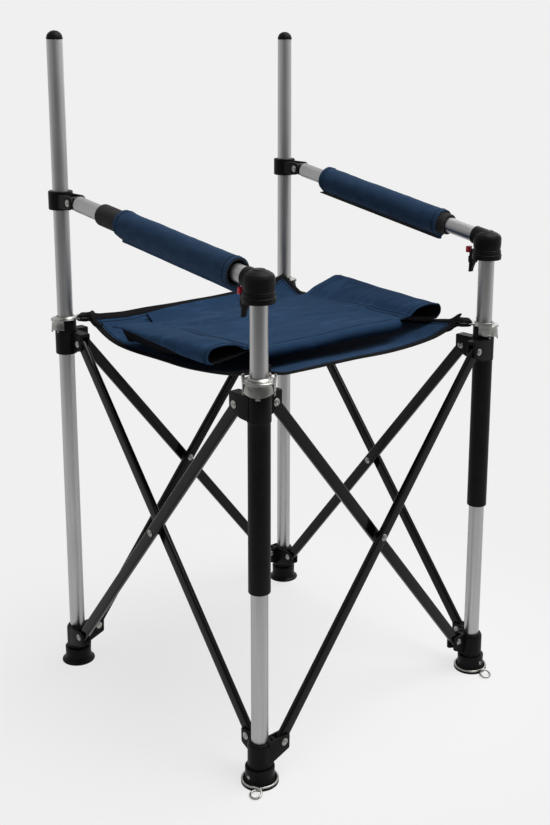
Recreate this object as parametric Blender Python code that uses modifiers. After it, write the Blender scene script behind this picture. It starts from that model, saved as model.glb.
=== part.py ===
"""Folding child's camping chair: four tube legs, eight scissor bars, sling seat, arms that swing up.

Metres, +Z up, the sitter faces -Y, the sitter's left is +X. The legs stand in a square and every corner
is the front right corner turned by quarter turns, so hubs, brackets and bars are all alike.
"""
import math

import bmesh
import bpy
from mathutils import Matrix, Vector

MM = 0.001
GAP = 0.3 * MM
SEGMENTS = 16
PIN_SEGMENTS = 8

# Legs: a square of round tubes.
LEG_SPACING = 420 * MM
TUBE_R = 11 * MM
TUBE_WALL = 1.2 * MM
POLE_TOP = 920 * MM
CAP_HEIGHT = 12 * MM
FRONT_TUBE_TOP = 465 * MM

# Scissor pivots, measured from the leg's axis and from the floor.
PIVOT_OFFSET = 28 * MM
FOOT_PIVOT_Z = 51 * MM
HUB_PIVOT_Z = 499.5 * MM
BAR_PLANE = 8 * MM

# Bars: flat oval tube with a pin riveted through each end.
BAR_WIDTH = 13.5 * MM
BAR_THICK = 8 * MM
BAR_WALL = 1.2 * MM
BAR_EDGE = 1.8 * MM
BAR_END = 7.5 * MM
PIN_R = 3 * MM
PIN_HEAD_R = 4.4 * MM
PIN_HEAD = 2.2 * MM

# Clevis ears on the hubs and on the foot brackets.
CHEEK = 3.5 * MM
EAR_LENGTH = 37.5 * MM

# Hubs, measured from their pivots, with the guide sleeve of the two front ones.
HUB_R = 15 * MM
HUB_BELOW = 17.5 * MM
HUB_ABOVE = 32.5 * MM
HUB_EAR_ABOVE = 15 * MM
SLEEVE_R = 14 * MM
SLEEVE_BOTTOM = 262 * MM

# Feet.
BRACKET_R = 15.8 * MM
BRACKET_TOP = 55 * MM
FOOT_TOP = 21 * MM
FOOT_R = 18.25 * MM
FLANGE_R = 24.25 * MM
FLANGE = 2.8 * MM

# Wire rings with a peg eye on the front feet. The eye's heading is in degrees from +X.
WIRE_R = 1.5 * MM
HOOP_R = 22.8 * MM
EYE_R = 6.8 * MM
EYE_AT = 34 * MM
EYE_HEADING = {"right": 220.0, "left": 261.0}

# Stamped seat hangers.
HANGER_R = 18.5 * MM
HANGER_RIM_R = 21 * MM
HANGER_ABOVE = 4 * MM
HANGER_SHEET = 1.2 * MM
TONGUE_REACH = 36 * MM
TONGUE_WIDTH = 22 * MM

# Arms. The clamps sit at their own height on each pole. Spans are measured back from the front post's axis.
CLAMP_Z = {"right": 702 * MM, "left": 719.5 * MM}
CLAMP_R = 17 * MM
CLAMP_HEIGHT = 26 * MM
ARM_PIVOT = 36.5 * MM
EAR_R = 9.7 * MM
ARM_FRONT_Z = {"right": 651 * MM, "left": 654 * MM}
GRIP_R = 15 * MM
PAD_R = 18.2 * MM
PAD_FLAP = 24.5 * MM
GRIP_SPAN = {"right": (315 * MM, 60 * MM), "left": (310 * MM, 69 * MM)}
PAD_SPAN = {"right": (267 * MM, 39 * MM), "left": (320 * MM, 85 * MM)}

# Elbow, post collar, lever and button at the front of each arm.
POST_GAP = 2 * MM
COLLAR_BOTTOM = 626.2 * MM
COLLAR_TOP = 638 * MM
COLLAR_R = 20.5 * MM
ELBOW_R = 19.5 * MM
ELBOW_TOP = 666 * MM
BOSS_R = 13.4 * MM
BOSS_REACH = 22 * MM
LEVER_AT = 24 * MM
LEVER_Z = 622.5 * MM
LEVER_TIP_Z = 604 * MM
LEVER_WIDTH = 7 * MM
BUTTON_SIZE = (8 * MM, 5 * MM, 7.2 * MM)
BUTTON_TRAVEL = 2.5 * MM

# Seat sling and the back panel that lies on it. Each edge's drop is below the seat's corners, its powers say
# how sharply it rises to either corner. A tunnel's rises are at its front and at its rear.
CLOTH = 2.4 * MM
PANEL_CLOTH = 2 * MM
SEAT_MARGIN = 23 * MM
SEAT_INSET = 11 * MM
SEAT_DROP = {"rear": 2.8 * MM, "front": 29.3 * MM, "right": 35.8 * MM, "left": 31.8 * MM}
SEAT_POWER = {"rear": (5, 5), "front": (4, 4), "right": (1.9, 5.2), "left": (1.6, 1.6)}
PANEL_FRONT = -120 * MM
PANEL_TUNNEL_END = 86 * MM
PANEL_REAR = 168 * MM
PANEL_BELOW = 6.8 * MM
PANEL_REST = 1.8 * MM
PANEL_SHEAR = -0.17
PANEL_TILT = 0.045
TUNNEL_BASE = 118 * MM
TUNNEL_WIDTH = 70 * MM
TUNNEL_HEIGHT = 21 * MM
TUNNEL_RISE = {"right": (-15 * MM, -4 * MM), "left": (-6.8 * MM, 6.2 * MM)}

HALF = LEG_SPACING / 2
BORE_R = TUBE_R + GAP
CAP_TOP = POLE_TOP + CAP_HEIGHT
POST_BOTTOM = FRONT_TUBE_TOP + POST_GAP
HUB_BOTTOM = HUB_PIVOT_Z - HUB_BELOW
HUB_TOP = HUB_PIVOT_Z + HUB_ABOVE
HUB_EAR_TOP = HUB_PIVOT_Z + HUB_EAR_ABOVE
HANGER_TOP = HUB_TOP + HANGER_ABOVE
SEAT_HALF = HALF - SEAT_MARGIN
SEAT_CORNER_Z = HANGER_TOP + 2 * GAP + CLOTH / 2
PANEL_Z = SEAT_CORNER_Z - PANEL_BELOW
SPAN = LEG_SPACING - 2 * PIVOT_OFFSET
RISE = HUB_PIVOT_Z - FOOT_PIVOT_Z
BAR_LENGTH = math.hypot(SPAN, RISE)
BAR_ANGLE = math.atan2(RISE, SPAN)
CLEVIS = BAR_THICK + 2 * GAP + 2 * CHEEK
EYE_REACH = EYE_AT + EYE_R + WIRE_R

CORNERS = ("front_right", "front_left", "rear_left", "rear_right")
SIDES = ("right", "front", "left", "rear")


def eye_reach(side, axis):
    heading = math.radians(EYE_HEADING[side])
    return EYE_REACH * (math.cos(heading), math.sin(heading))[axis]


# The origin is under the middle of the whole chair, peg eyes included.
LOW_X = -HALF + min(-FLANGE_R, eye_reach("right", 0))
HIGH_X = HALF + max(FLANGE_R, eye_reach("left", 0))
LOW_Y = -HALF + min(-FLANGE_R, eye_reach("right", 1), eye_reach("left", 1))
CENTRE = Vector(((LOW_X + HIGH_X) / 2, (LOW_Y + HALF + FLANGE_R) / 2, 0))

COLOURS = {
    "aluminium": ((0.55, 0.56, 0.57), 0.38, 0.9),
    "black_plastic": ((0.012, 0.012, 0.013), 0.5, 0.0),
    "black_paint": ((0.01, 0.01, 0.011), 0.35, 0.0),
    "zinc": ((0.62, 0.63, 0.61), 0.3, 1.0),
    "red_plastic": ((0.35, 0.01, 0.025), 0.35, 0.0),
    "foam": ((0.02, 0.019, 0.019), 0.9, 0.0),
    "blue_fabric": ((0.012, 0.035, 0.095), 0.85, 0.0),
}


def clear_scene():
    for old in list(bpy.data.objects):
        bpy.data.objects.remove(old, do_unlink=True)


def collection(name):
    made = bpy.data.collections.new(name)
    bpy.context.scene.collection.children.link(made)
    return made


def material(name):
    colour, roughness, metallic = COLOURS[name]
    made = bpy.data.materials.new(name)
    made.use_nodes = True
    shader = made.node_tree.nodes["Principled BSDF"]
    shader.inputs["Base Color"].default_value = (*colour, 1)
    shader.inputs["Roughness"].default_value = roughness
    shader.inputs["Metallic"].default_value = metallic
    return made


clear_scene()
PARTS = collection("child_camping_chair")
BENCH = collection("cutters")
MATERIALS = {name: material(name) for name in COLOURS}

ROOT = bpy.data.objects.new("chair_root", None)
ROOT.location = -CENTRE
PARTS.objects.link(ROOT)


# Workshop helpers: each makes a plain mesh in its own local frame.
def evaluated(data, modifiers=()):
    """The mesh of an object data block after the modifiers, with its normals pointing out."""
    bench = bpy.data.objects.new("bench", data)
    BENCH.objects.link(bench)
    for kind, values in modifiers:
        modifier = bench.modifiers.new(kind.title(), kind)
        for key, value in values.items():
            setattr(modifier, key, value)
    bpy.context.view_layer.update()
    graph = bpy.context.evaluated_depsgraph_get()
    mesh = bpy.data.meshes.new_from_object(bench.evaluated_get(graph))
    bpy.data.objects.remove(bench, do_unlink=True)
    shape = bmesh.new()
    shape.from_mesh(mesh)
    bmesh.ops.remove_doubles(shape, verts=shape.verts, dist=1e-6)
    bmesh.ops.recalc_face_normals(shape, faces=shape.faces)
    shape.to_mesh(mesh)
    shape.free()
    return mesh


def turned(profile, ring=False, segments=SEGMENTS):
    """A profile of (radius, height) turned about Z. A ring's profile closes on itself."""
    mesh = bpy.data.meshes.new("turned")
    points = [(radius, 0, height) for radius, height in profile]
    edges = [(i, i + 1) for i in range(len(points) - 1)]
    if ring:
        edges.append((len(points) - 1, 0))
    mesh.from_pydata(points, edges, [])
    screw = {"steps": segments, "render_steps": segments}
    screw.update(use_merge_vertices=True, merge_threshold=1e-6)
    return evaluated(mesh, [("SCREW", screw)])


def tube(radius, bore, bottom, top):
    return turned([(radius, top), (radius, bottom), (bore, bottom), (bore, top)], ring=True)


def cylinder(radius, low, high, segments=PIN_SEGMENTS):
    """A solid cylinder along Z between two heights."""
    mesh = bpy.data.meshes.new("cylinder")
    shape = bmesh.new()
    place = Matrix.Translation((0, 0, (low + high) / 2))
    size = {"radius1": radius, "radius2": radius, "depth": high - low, "segments": segments}
    bmesh.ops.create_cone(shape, cap_ends=True, matrix=place, **size)
    shape.to_mesh(mesh)
    shape.free()
    return mesh


def box(low, high, bevel=0.0):
    mesh = bpy.data.meshes.new("box")
    shape = bmesh.new()
    low, high = Vector(low), Vector(high)
    size = Matrix.Diagonal((*(high - low), 1))
    bmesh.ops.create_cube(shape, size=1, matrix=Matrix.Translation((low + high) / 2) @ size)
    shape.to_mesh(mesh)
    shape.free()
    if not bevel:
        return mesh
    return evaluated(mesh, [("BEVEL", {"width": bevel, "segments": 1, "limit_method": "ANGLE"})])


def extruded(outlines, low, high):
    """Flat outlines in XY, the first one filled and the others holes, extruded along Z."""
    curve = bpy.data.curves.new("outline", "CURVE")
    curve.dimensions = "2D"
    curve.fill_mode = "BOTH"
    curve.extrude = (high - low) / 2
    for outline in outlines:
        spline = curve.splines.new("POLY")
        spline.points.add(len(outline) - 1)
        for point, (x, y) in zip(spline.points, outline):
            point.co = (x, y, 0, 1)
        spline.use_cyclic_u = True
    mesh = evaluated(curve)
    mesh.transform(Matrix.Translation((0, 0, (low + high) / 2)))
    return mesh


def ring_wire(radius, wire, segments):
    """A torus in the XY plane."""
    circle = arc((radius, 0), wire, 300, 0, 5)
    return turned(circle, ring=True, segments=segments)


def moved(mesh, matrix):
    made = mesh.copy()
    made.transform(matrix)
    return made


def combined(base, tools, operation):
    """Base with every tool joined to it or cut from it."""
    for tool in tools:
        helper = bpy.data.objects.new("tool", tool)
        helper.hide_render = True
        helper.display_type = "WIRE"
        BENCH.objects.link(helper)
        base = evaluated(base, [("BOOLEAN", {"object": helper, "operation": operation})])
        bpy.data.objects.remove(helper, do_unlink=True)
    return base


def joined(base, *tools):
    return combined(base, tools, "UNION")


def cut(base, *tools):
    return combined(base, tools, "DIFFERENCE")


def arc(centre, radius, start, end, steps):
    """Points on an arc, angles in degrees."""
    angles = [math.radians(start + (end - start) * i / steps) for i in range(steps + 1)]
    return [(centre[0] + radius * math.cos(a), centre[1] + radius * math.sin(a)) for a in angles]


def add_part(name, mesh, matrix, colour, sharp=35):
    """A named part at its place, with its origin where the matrix puts it."""
    part = bpy.data.objects.new(name, mesh.copy())
    part.data.name = name
    part.data.materials.clear()
    part.data.materials.append(MATERIALS[colour])
    part.data.shade_smooth()
    part.data.set_sharp_from_angle(angle=math.radians(sharp))
    part.parent = ROOT
    part.matrix_local = matrix
    PARTS.objects.link(part)
    return part


def quarter(turns):
    return Matrix.Rotation(math.pi / 2 * turns, 4, "Z")


def corner(index):
    """The frame of a leg: its axis at the origin, the front right corner turned to the others."""
    return quarter(index) @ Matrix.Translation((-HALF, -HALF, 0))


def axes(x, y, z, origin=(0, 0, 0)):
    """A matrix from its three axes and its origin."""
    rows = Matrix((x, y, z)).transposed().to_4x4()
    return Matrix.Translation(origin) @ rows


# In a corner's frame an ear runs along +Y or +X. An outline drawn in (along, up) is stood up by these.
ALONG_Y = axes((0, 1, 0), (0, 0, 1), (1, 0, 0))
ALONG_X = axes((1, 0, 0), (0, 0, 1), (0, -1, 0))


def ears(body, outline, slot, pivot_z, outward):
    """Two clevis ears: outward gives which of (+Y ear, +X ear) lies in the outer bar's plane."""
    stood = []
    for frame, outer in zip((ALONG_Y, ALONG_X), outward):
        # The outer plane is at -X for the +Y ear and at -Y for the +X ear.
        sign = -1 if frame is ALONG_Y else 1
        offset = BAR_PLANE * (sign if outer else -sign)
        place = frame @ Matrix.Translation((0, 0, offset))
        stood.append(place)
        body = joined(body, moved(extruded([outline], -CLEVIS / 2, CLEVIS / 2), place))
    bore = Matrix.Translation((PIVOT_OFFSET, pivot_z, 0))
    pin = moved(cylinder(PIN_R + GAP, -CLEVIS, CLEVIS), bore)
    for place in stood:
        half = BAR_THICK / 2 + GAP
        body = cut(body, moved(extruded([slot], -half, half), place), moved(pin, place))
    return body


def leg_tubes():
    bore = TUBE_R - TUBE_WALL
    bottom = FOOT_TOP + 3.5 * MM
    pole = tube(TUBE_R, bore, bottom, POLE_TOP)
    front = tube(TUBE_R, bore, bottom, FRONT_TUBE_TOP)
    post = tube(TUBE_R, bore, POST_BOTTOM, COLLAR_TOP - 0.5 * MM)
    plug = bore - GAP
    rim = POLE_TOP + GAP
    dome = [(11 * math.cos(a), 11 * math.sin(a)) for a in (math.radians(d) for d in (62, 38, 14))]
    height = (CAP_TOP - rim - 2 * MM) / (11 * MM)
    profile = [(0, CAP_TOP)]
    profile += [(r * MM, rim + 2 * MM + z * MM * height) for r, z in dome]
    profile += [(TUBE_R, rim), (plug, rim), (plug, rim - 15 * MM), (0, rim - 15 * MM)]
    cap = turned(profile)
    for side, index in (("right", 3), ("left", 2)):
        add_part(f"rear_pole_{side}", pole, corner(index), "aluminium")
        add_part(f"pole_cap_{side}", cap, corner(index), "black_plastic")
    for side, index in (("right", 0), ("left", 1)):
        add_part(f"front_tube_{side}", front, corner(index), "aluminium")
        add_part(f"front_post_{side}", post, corner(index), "aluminium")


def feet():
    spigot = 13 * MM
    floor = FOOT_TOP - 7.5 * MM
    foot = turned([
        (0, floor), (spigot + GAP, floor), (spigot + GAP, FOOT_TOP), (FOOT_R - 0.6 * MM, FOOT_TOP),
        (FOOT_R, FLANGE + 0.6 * MM), (FLANGE_R - MM, FLANGE), (FLANGE_R, FLANGE - 1.2 * MM),
        (FLANGE_R, 0), (0, 0),
    ])
    low = FOOT_TOP + GAP
    seat = low + 2.9 * MM
    bracket = turned([
        (0, seat), (BORE_R, seat), (BORE_R, BRACKET_TOP), (BRACKET_R - 2 * MM, BRACKET_TOP),
        (BRACKET_R, BRACKET_TOP - 2.5 * MM), (BRACKET_R, low), (spigot, low), (spigot, floor + GAP),
        (0, floor + GAP),
    ])
    top = FOOT_PIVOT_Z + 11 * MM
    inner = 12.5 * MM
    outline = [
        (inner, low + 7 * MM), (20 * MM, low + 11 * MM), (EAR_LENGTH - 2 * MM, FOOT_PIVOT_Z - 7.5 * MM),
        (EAR_LENGTH, FOOT_PIVOT_Z - 5 * MM), (EAR_LENGTH, top - 2 * MM), (EAR_LENGTH - 2 * MM, top),
        (inner, top),
    ]
    slot_start = PIVOT_OFFSET - math.hypot(BAR_END, BAR_WIDTH / 2) - GAP
    slot = [(slot_start, 0), (60 * MM, 0), (60 * MM, 90 * MM), (slot_start, 90 * MM)]
    bracket = ears(bracket, outline, slot, FOOT_PIVOT_Z, (False, True))
    for index, name in enumerate(CORNERS):
        add_part(f"foot_{name}", foot, corner(index), "black_plastic")
        add_part(f"foot_bracket_{name}", bracket, corner(index), "black_plastic")


def peg_rings():
    hoop = ring_wire(HOOP_R, WIRE_R, 20)
    eye = moved(ring_wire(EYE_R, WIRE_R, 12), Matrix.Translation((EYE_AT, 0, 0)))
    along_x = Matrix.Rotation(math.pi / 2, 4, "Y")
    neck = moved(cylinder(WIRE_R * 1.15, HOOP_R, EYE_AT - EYE_R + WIRE_R / 2), along_x)
    ring = joined(hoop, neck, eye)
    height = FLANGE + GAP + WIRE_R * 1.15
    for side, index in (("right", 0), ("left", 1)):
        turn = Matrix.Rotation(math.radians(EYE_HEADING[side]), 4, "Z")
        place = Matrix.Translation(corner(index).translation + Vector((0, 0, height)))
        add_part(f"peg_ring_{side}", ring, place @ turn, "zinc")


def hubs():
    plain = turned([
        (HUB_R, HUB_TOP), (HUB_R, HUB_BOTTOM + 2 * MM), (HUB_R - 2 * MM, HUB_BOTTOM), (BORE_R, HUB_BOTTOM),
        (BORE_R, HUB_TOP),
    ], ring=True)
    sleeved = turned([
        (HUB_R, HUB_TOP), (HUB_R, HUB_BOTTOM + MM), (SLEEVE_R, HUB_BOTTOM),
        (SLEEVE_R, SLEEVE_BOTTOM + 3 * MM), (SLEEVE_R - 0.8 * MM, SLEEVE_BOTTOM + MM),
        (SLEEVE_R - 2 * MM, SLEEVE_BOTTOM), (BORE_R, SLEEVE_BOTTOM), (BORE_R, HUB_TOP),
    ], ring=True)
    inner = 12 * MM
    outline = [
        (inner, HUB_BOTTOM + 2.5 * MM), (19 * MM, HUB_BOTTOM + 4 * MM),
        (EAR_LENGTH - MM, HUB_PIVOT_Z - 7 * MM),
        (EAR_LENGTH, HUB_PIVOT_Z - 5.5 * MM), (EAR_LENGTH, HUB_EAR_TOP - 1.5 * MM),
        (EAR_LENGTH - 1.5 * MM, HUB_EAR_TOP), (inner, HUB_EAR_TOP),
    ]
    reach = math.hypot(BAR_END, BAR_WIDTH / 2) + GAP
    start, web = PIVOT_OFFSET - reach, HUB_PIVOT_Z + reach
    slot = [(start, HUB_BOTTOM - 20 * MM), (60 * MM, HUB_BOTTOM - 20 * MM), (60 * MM, web), (start, web)]
    for index, name in enumerate(CORNERS):
        body = sleeved if name.startswith("front") else plain
        hub = ears(body, outline, slot, HUB_PIVOT_Z, (True, False))
        add_part(f"hub_{name}", hub, corner(index), "black_plastic")


def hangers():
    under = HUB_TOP + GAP
    skirt = HUB_EAR_TOP + GAP
    inside = HANGER_R - HANGER_SHEET
    cup = turned([
        (HANGER_RIM_R, HANGER_TOP), (HANGER_RIM_R, HANGER_TOP - 1.5 * MM), (HANGER_R, HANGER_TOP - 2.5 * MM),
        (HANGER_R, skirt), (inside, skirt), (inside, under), (BORE_R, under), (BORE_R, HANGER_TOP),
    ], ring=True)
    tab = box((inside, -3 * MM, skirt - 6 * MM), (HANGER_R - 0.1 * MM, 3 * MM, skirt + 4 * MM))
    half = TONGUE_WIDTH / 2
    outline = [(HANGER_R, -half), *arc((TONGUE_REACH - 4 * MM, -half + 4 * MM), 4 * MM, -90, 0, 2)]
    outline += [*arc((TONGUE_REACH - 4 * MM, half - 4 * MM), 4 * MM, 0, 90, 2), (HANGER_R, half)]
    window = [(27 * MM, -7.4 * MM), (32 * MM, -7.4 * MM), (32 * MM, 7.4 * MM), (27 * MM, 7.4 * MM)]
    tongue = extruded([outline, window], HANGER_TOP - 1.5 * MM, HANGER_TOP - 0.02 * MM)
    inward = Matrix.Rotation(math.pi / 4, 4, "Z")
    outward = Matrix.Rotation(math.pi * 5 / 4, 4, "Z")
    hanger = joined(cup, moved(tab, outward), moved(tongue, inward))
    # The skirt covers the outer half of the hub only.
    reach = 2 * HANGER_R
    opened = box((4 * MM, -reach, skirt - 8 * MM), (reach, reach, under + 0.4 * MM))
    hanger = cut(hanger, moved(opened, inward))
    for index, name in enumerate(CORNERS):
        add_part(f"seat_hanger_{name}", hanger, corner(index), "zinc")


def bar_mesh():
    """A bar along +X from its foot pivot, thickness along Y, with both end pins riveted in."""
    half_w, half_t = BAR_WIDTH / 2, BAR_THICK / 2

    def section():
        w, t, r = half_w - BAR_EDGE, half_t - BAR_EDGE, BAR_EDGE
        points = []
        for x, y, start in ((w, t, 0), (-w, t, 90), (-w, -t, 180), (w, -t, 270)):
            points += arc((x, y), r, start, start + 90, 1)
        return points

    w, t = half_w - BAR_WALL, half_t - BAR_WALL
    bore = [(w, t), (-w, t), (-w, -t), (w, -t)]
    bar = extruded([section(), bore], -BAR_END, BAR_LENGTH + BAR_END)
    # The extrusion runs along Z with the width on X and the thickness on Y.
    bar.transform(axes((0, 0, 1), (0, 1, 0), (1, 0, 0)) @ Matrix.Diagonal((-1, 1, 1, 1)))
    across = axes((1, 0, 0), (0, 0, -1), (0, 1, 0))
    face = CLEVIS / 2 + GAP
    end = face + PIN_HEAD
    pin = turned([
        (0, end), (PIN_HEAD_R * 0.7, end), (PIN_HEAD_R, face), (PIN_R, face), (PIN_R, -face),
        (PIN_HEAD_R, -face), (PIN_HEAD_R * 0.7, -end), (0, -end),
    ], segments=PIN_SEGMENTS)
    for x in (0, BAR_LENGTH):
        bar = joined(bar, moved(pin, Matrix.Translation((x, 0, 0)) @ across))
    hole = cylinder(PIN_R + GAP, -BAR_THICK, BAR_THICK)
    return cut(bar, moved(hole, Matrix.Translation((BAR_LENGTH / 2, 0, 0)) @ across))


def bars():
    """On each side the outer bar climbs from the next corner's foot, the inner bar from its own."""
    bar = bar_mesh()
    near, far = BAR_PLANE - BAR_THICK / 2, BAR_PLANE + BAR_THICK / 2
    head = far + GAP + 2 * MM
    rivet = turned([
        (0, head), (3 * MM, head), (PIN_HEAD_R, far + GAP), (PIN_R, far + GAP), (PIN_R, near - GAP),
        (5 * MM, near - GAP), (5 * MM, GAP - near), (PIN_R, GAP - near), (PIN_R, -far - GAP),
        (PIN_HEAD_R, -far - GAP), (3 * MM, -head), (0, -head),
    ], segments=PIN_SEGMENTS)
    c, s = math.cos(BAR_ANGLE), math.sin(BAR_ANGLE)
    foot_y = HALF - PIVOT_OFFSET
    outer = axes((0, -c, s), (1, 0, 0), (0, s, c), (-HALF - BAR_PLANE, foot_y, FOOT_PIVOT_Z))
    inner = axes((0, c, s), (-1, 0, 0), (0, -s, c), (-HALF + BAR_PLANE, -foot_y, FOOT_PIVOT_Z))
    middle = axes((0, 0, -1), (0, 1, 0), (1, 0, 0), (-HALF, 0, (FOOT_PIVOT_Z + HUB_PIVOT_Z) / 2))
    for index, side in enumerate(SIDES):
        add_part(f"bar_{side}_outer", bar, quarter(index) @ outer, "black_paint")
        add_part(f"bar_{side}_inner", bar, quarter(index) @ inner, "black_paint")
        add_part(f"bar_rivet_{side}", rivet, quarter(index) @ middle, "zinc")


def arm_frame(side):
    """The arm's frame at its bolt: local -Y runs forward along the arm, local X is the bolt's axis."""
    x = -HALF if side == "right" else HALF
    run = LEG_SPACING - ARM_PIVOT
    slope = math.atan2(CLAMP_Z[side] - ARM_FRONT_Z[side], run)
    c, s = math.cos(slope), math.sin(slope)
    bolt = Vector((x, HALF - ARM_PIVOT, CLAMP_Z[side]))
    return axes((1, 0, 0), (0, c, s), (0, -s, c), bolt), slope


def clamps():
    half = CLAMP_HEIGHT / 2
    band = turned([
        (CLAMP_R - MM, half), (CLAMP_R, half - MM), (CLAMP_R, MM - half), (CLAMP_R - MM, -half),
        (BORE_R, -half), (BORE_R, half),
    ], ring=True)
    forward = axes((0, -1, 0), (0, 0, 1), (-1, 0, 0))
    outline = [(10 * MM, -EAR_R), *arc((ARM_PIVOT, 0), EAR_R, -90, 90, 6), (10 * MM, EAR_R)]
    inside, outside = 8.3 * MM, 12.3 * MM
    for low, high in ((inside, outside), (-outside, -inside)):
        band = joined(band, moved(extruded([outline], low, high), forward))
    across = Matrix.Translation((0, -ARM_PIVOT, 0)) @ Matrix.Rotation(math.pi / 2, 4, "Y")
    band = cut(band, moved(cylinder(PIN_R + GAP, -20 * MM, 20 * MM), across))
    for side, index in (("right", 3), ("left", 2)):
        place = Matrix.Translation(corner(index).translation + Vector((0, 0, CLAMP_Z[side])))
        add_part(f"arm_clamp_{side}", band, place, "black_plastic")


def arms():
    bore = TUBE_R - TUBE_WALL
    start = EAR_R + 1.2 * MM
    half = 8 * MM
    along = axes((1, 0, 0), (0, 0, 1), (0, -1, 0))
    tongue = [(start - GAP, -half), *arc((0, 0), half, 270, 90, 6), (start - GAP, half)]
    sideways = axes((0, -1, 0), (0, 0, 1), (-1, 0, 0))
    plug = moved(extruded([tongue], -half, half), sideways)
    plug = joined(plug, moved(cylinder(bore - GAP, EAR_R + GAP, start + 22 * MM, SEGMENTS), along))
    face = 12.3 * MM + GAP
    end = face + 2.4 * MM
    bolt = turned([
        (0, end), (3.2 * MM, end), (4.6 * MM, face), (PIN_R, face), (PIN_R, -face), (4.6 * MM, -face),
        (3.2 * MM, -end), (0, -end),
    ], segments=PIN_SEGMENTS)
    plug = joined(plug, moved(bolt, Matrix.Rotation(math.pi / 2, 4, "Y")))
    ring = arc((0, 0), PAD_R, -50, 230, 16)
    edge = 2 * MM - PAD_FLAP
    flap = [(-2.2 * MM, edge), (-1.6 * MM, -PAD_FLAP), (1.6 * MM, -PAD_FLAP), (2.2 * MM, edge)]
    hole = arc((0, 0), GRIP_R + GAP, 0, 360 - 360 / SEGMENTS, SEGMENTS - 1)
    for side, index in (("right", 0), ("left", 1)):
        frame, slope = arm_frame(side)
        bolt_y = HALF - ARM_PIVOT

        def reach(behind_post):
            return (bolt_y + HALF - behind_post) / math.cos(slope)

        length = reach(0) - 8.5 * MM
        add_part(f"arm_plug_{side}", plug, frame, "black_plastic")
        arm_tube = moved(tube(TUBE_R, bore, start, length), along)
        add_part(f"arm_tube_{side}", arm_tube, frame, "aluminium")
        low, high = (reach(end) for end in GRIP_SPAN[side])
        add_part(f"arm_grip_{side}", moved(tube(GRIP_R, BORE_R, low, high), along), frame, "foam")
        low, high = (reach(end) for end in PAD_SPAN[side])
        # Drawn with its flap towards -Y, stood with the flap down and the length forward.
        pad = moved(extruded([ring + flap, hole], low, high), along)
        add_part(f"arm_pad_{side}", pad, frame, "blue_fabric")
        add_part(f"arm_elbow_{side}", elbow(frame, slope, index, length), frame, "black_plastic")


def elbow(frame, slope, index, tube_end):
    """The capped elbow over a front post, in the arm's frame."""
    bottom = COLLAR_TOP + GAP
    dome = turned([
        (0, ELBOW_TOP), (10 * MM, ELBOW_TOP), (11 * MM, ELBOW_TOP - 1.6 * MM),
        (15.5 * MM, ELBOW_TOP - 4 * MM), (18 * MM, ELBOW_TOP - 7.5 * MM), (ELBOW_R, ELBOW_TOP - 12 * MM),
        (ELBOW_R - 0.6 * MM, bottom), (0, bottom),
    ])
    local = frame.inverted() @ Matrix.Translation(corner(index).translation)
    along = axes((1, 0, 0), (0, 0, 1), (0, -1, 0))
    axis_end = tube_end + 8.5 * MM
    boss = moved(cylinder(BOSS_R, axis_end - BOSS_REACH, axis_end, SEGMENTS), along)
    mouth = axis_end - BOSS_REACH
    lip = moved(cylinder(BOSS_R + MM, mouth, mouth + 4 * MM, SEGMENTS), along)
    bore = moved(cylinder(BORE_R, mouth - MM, tube_end + GAP, SEGMENTS), along)
    return cut(joined(moved(dome, local), boss, lip), bore)


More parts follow.
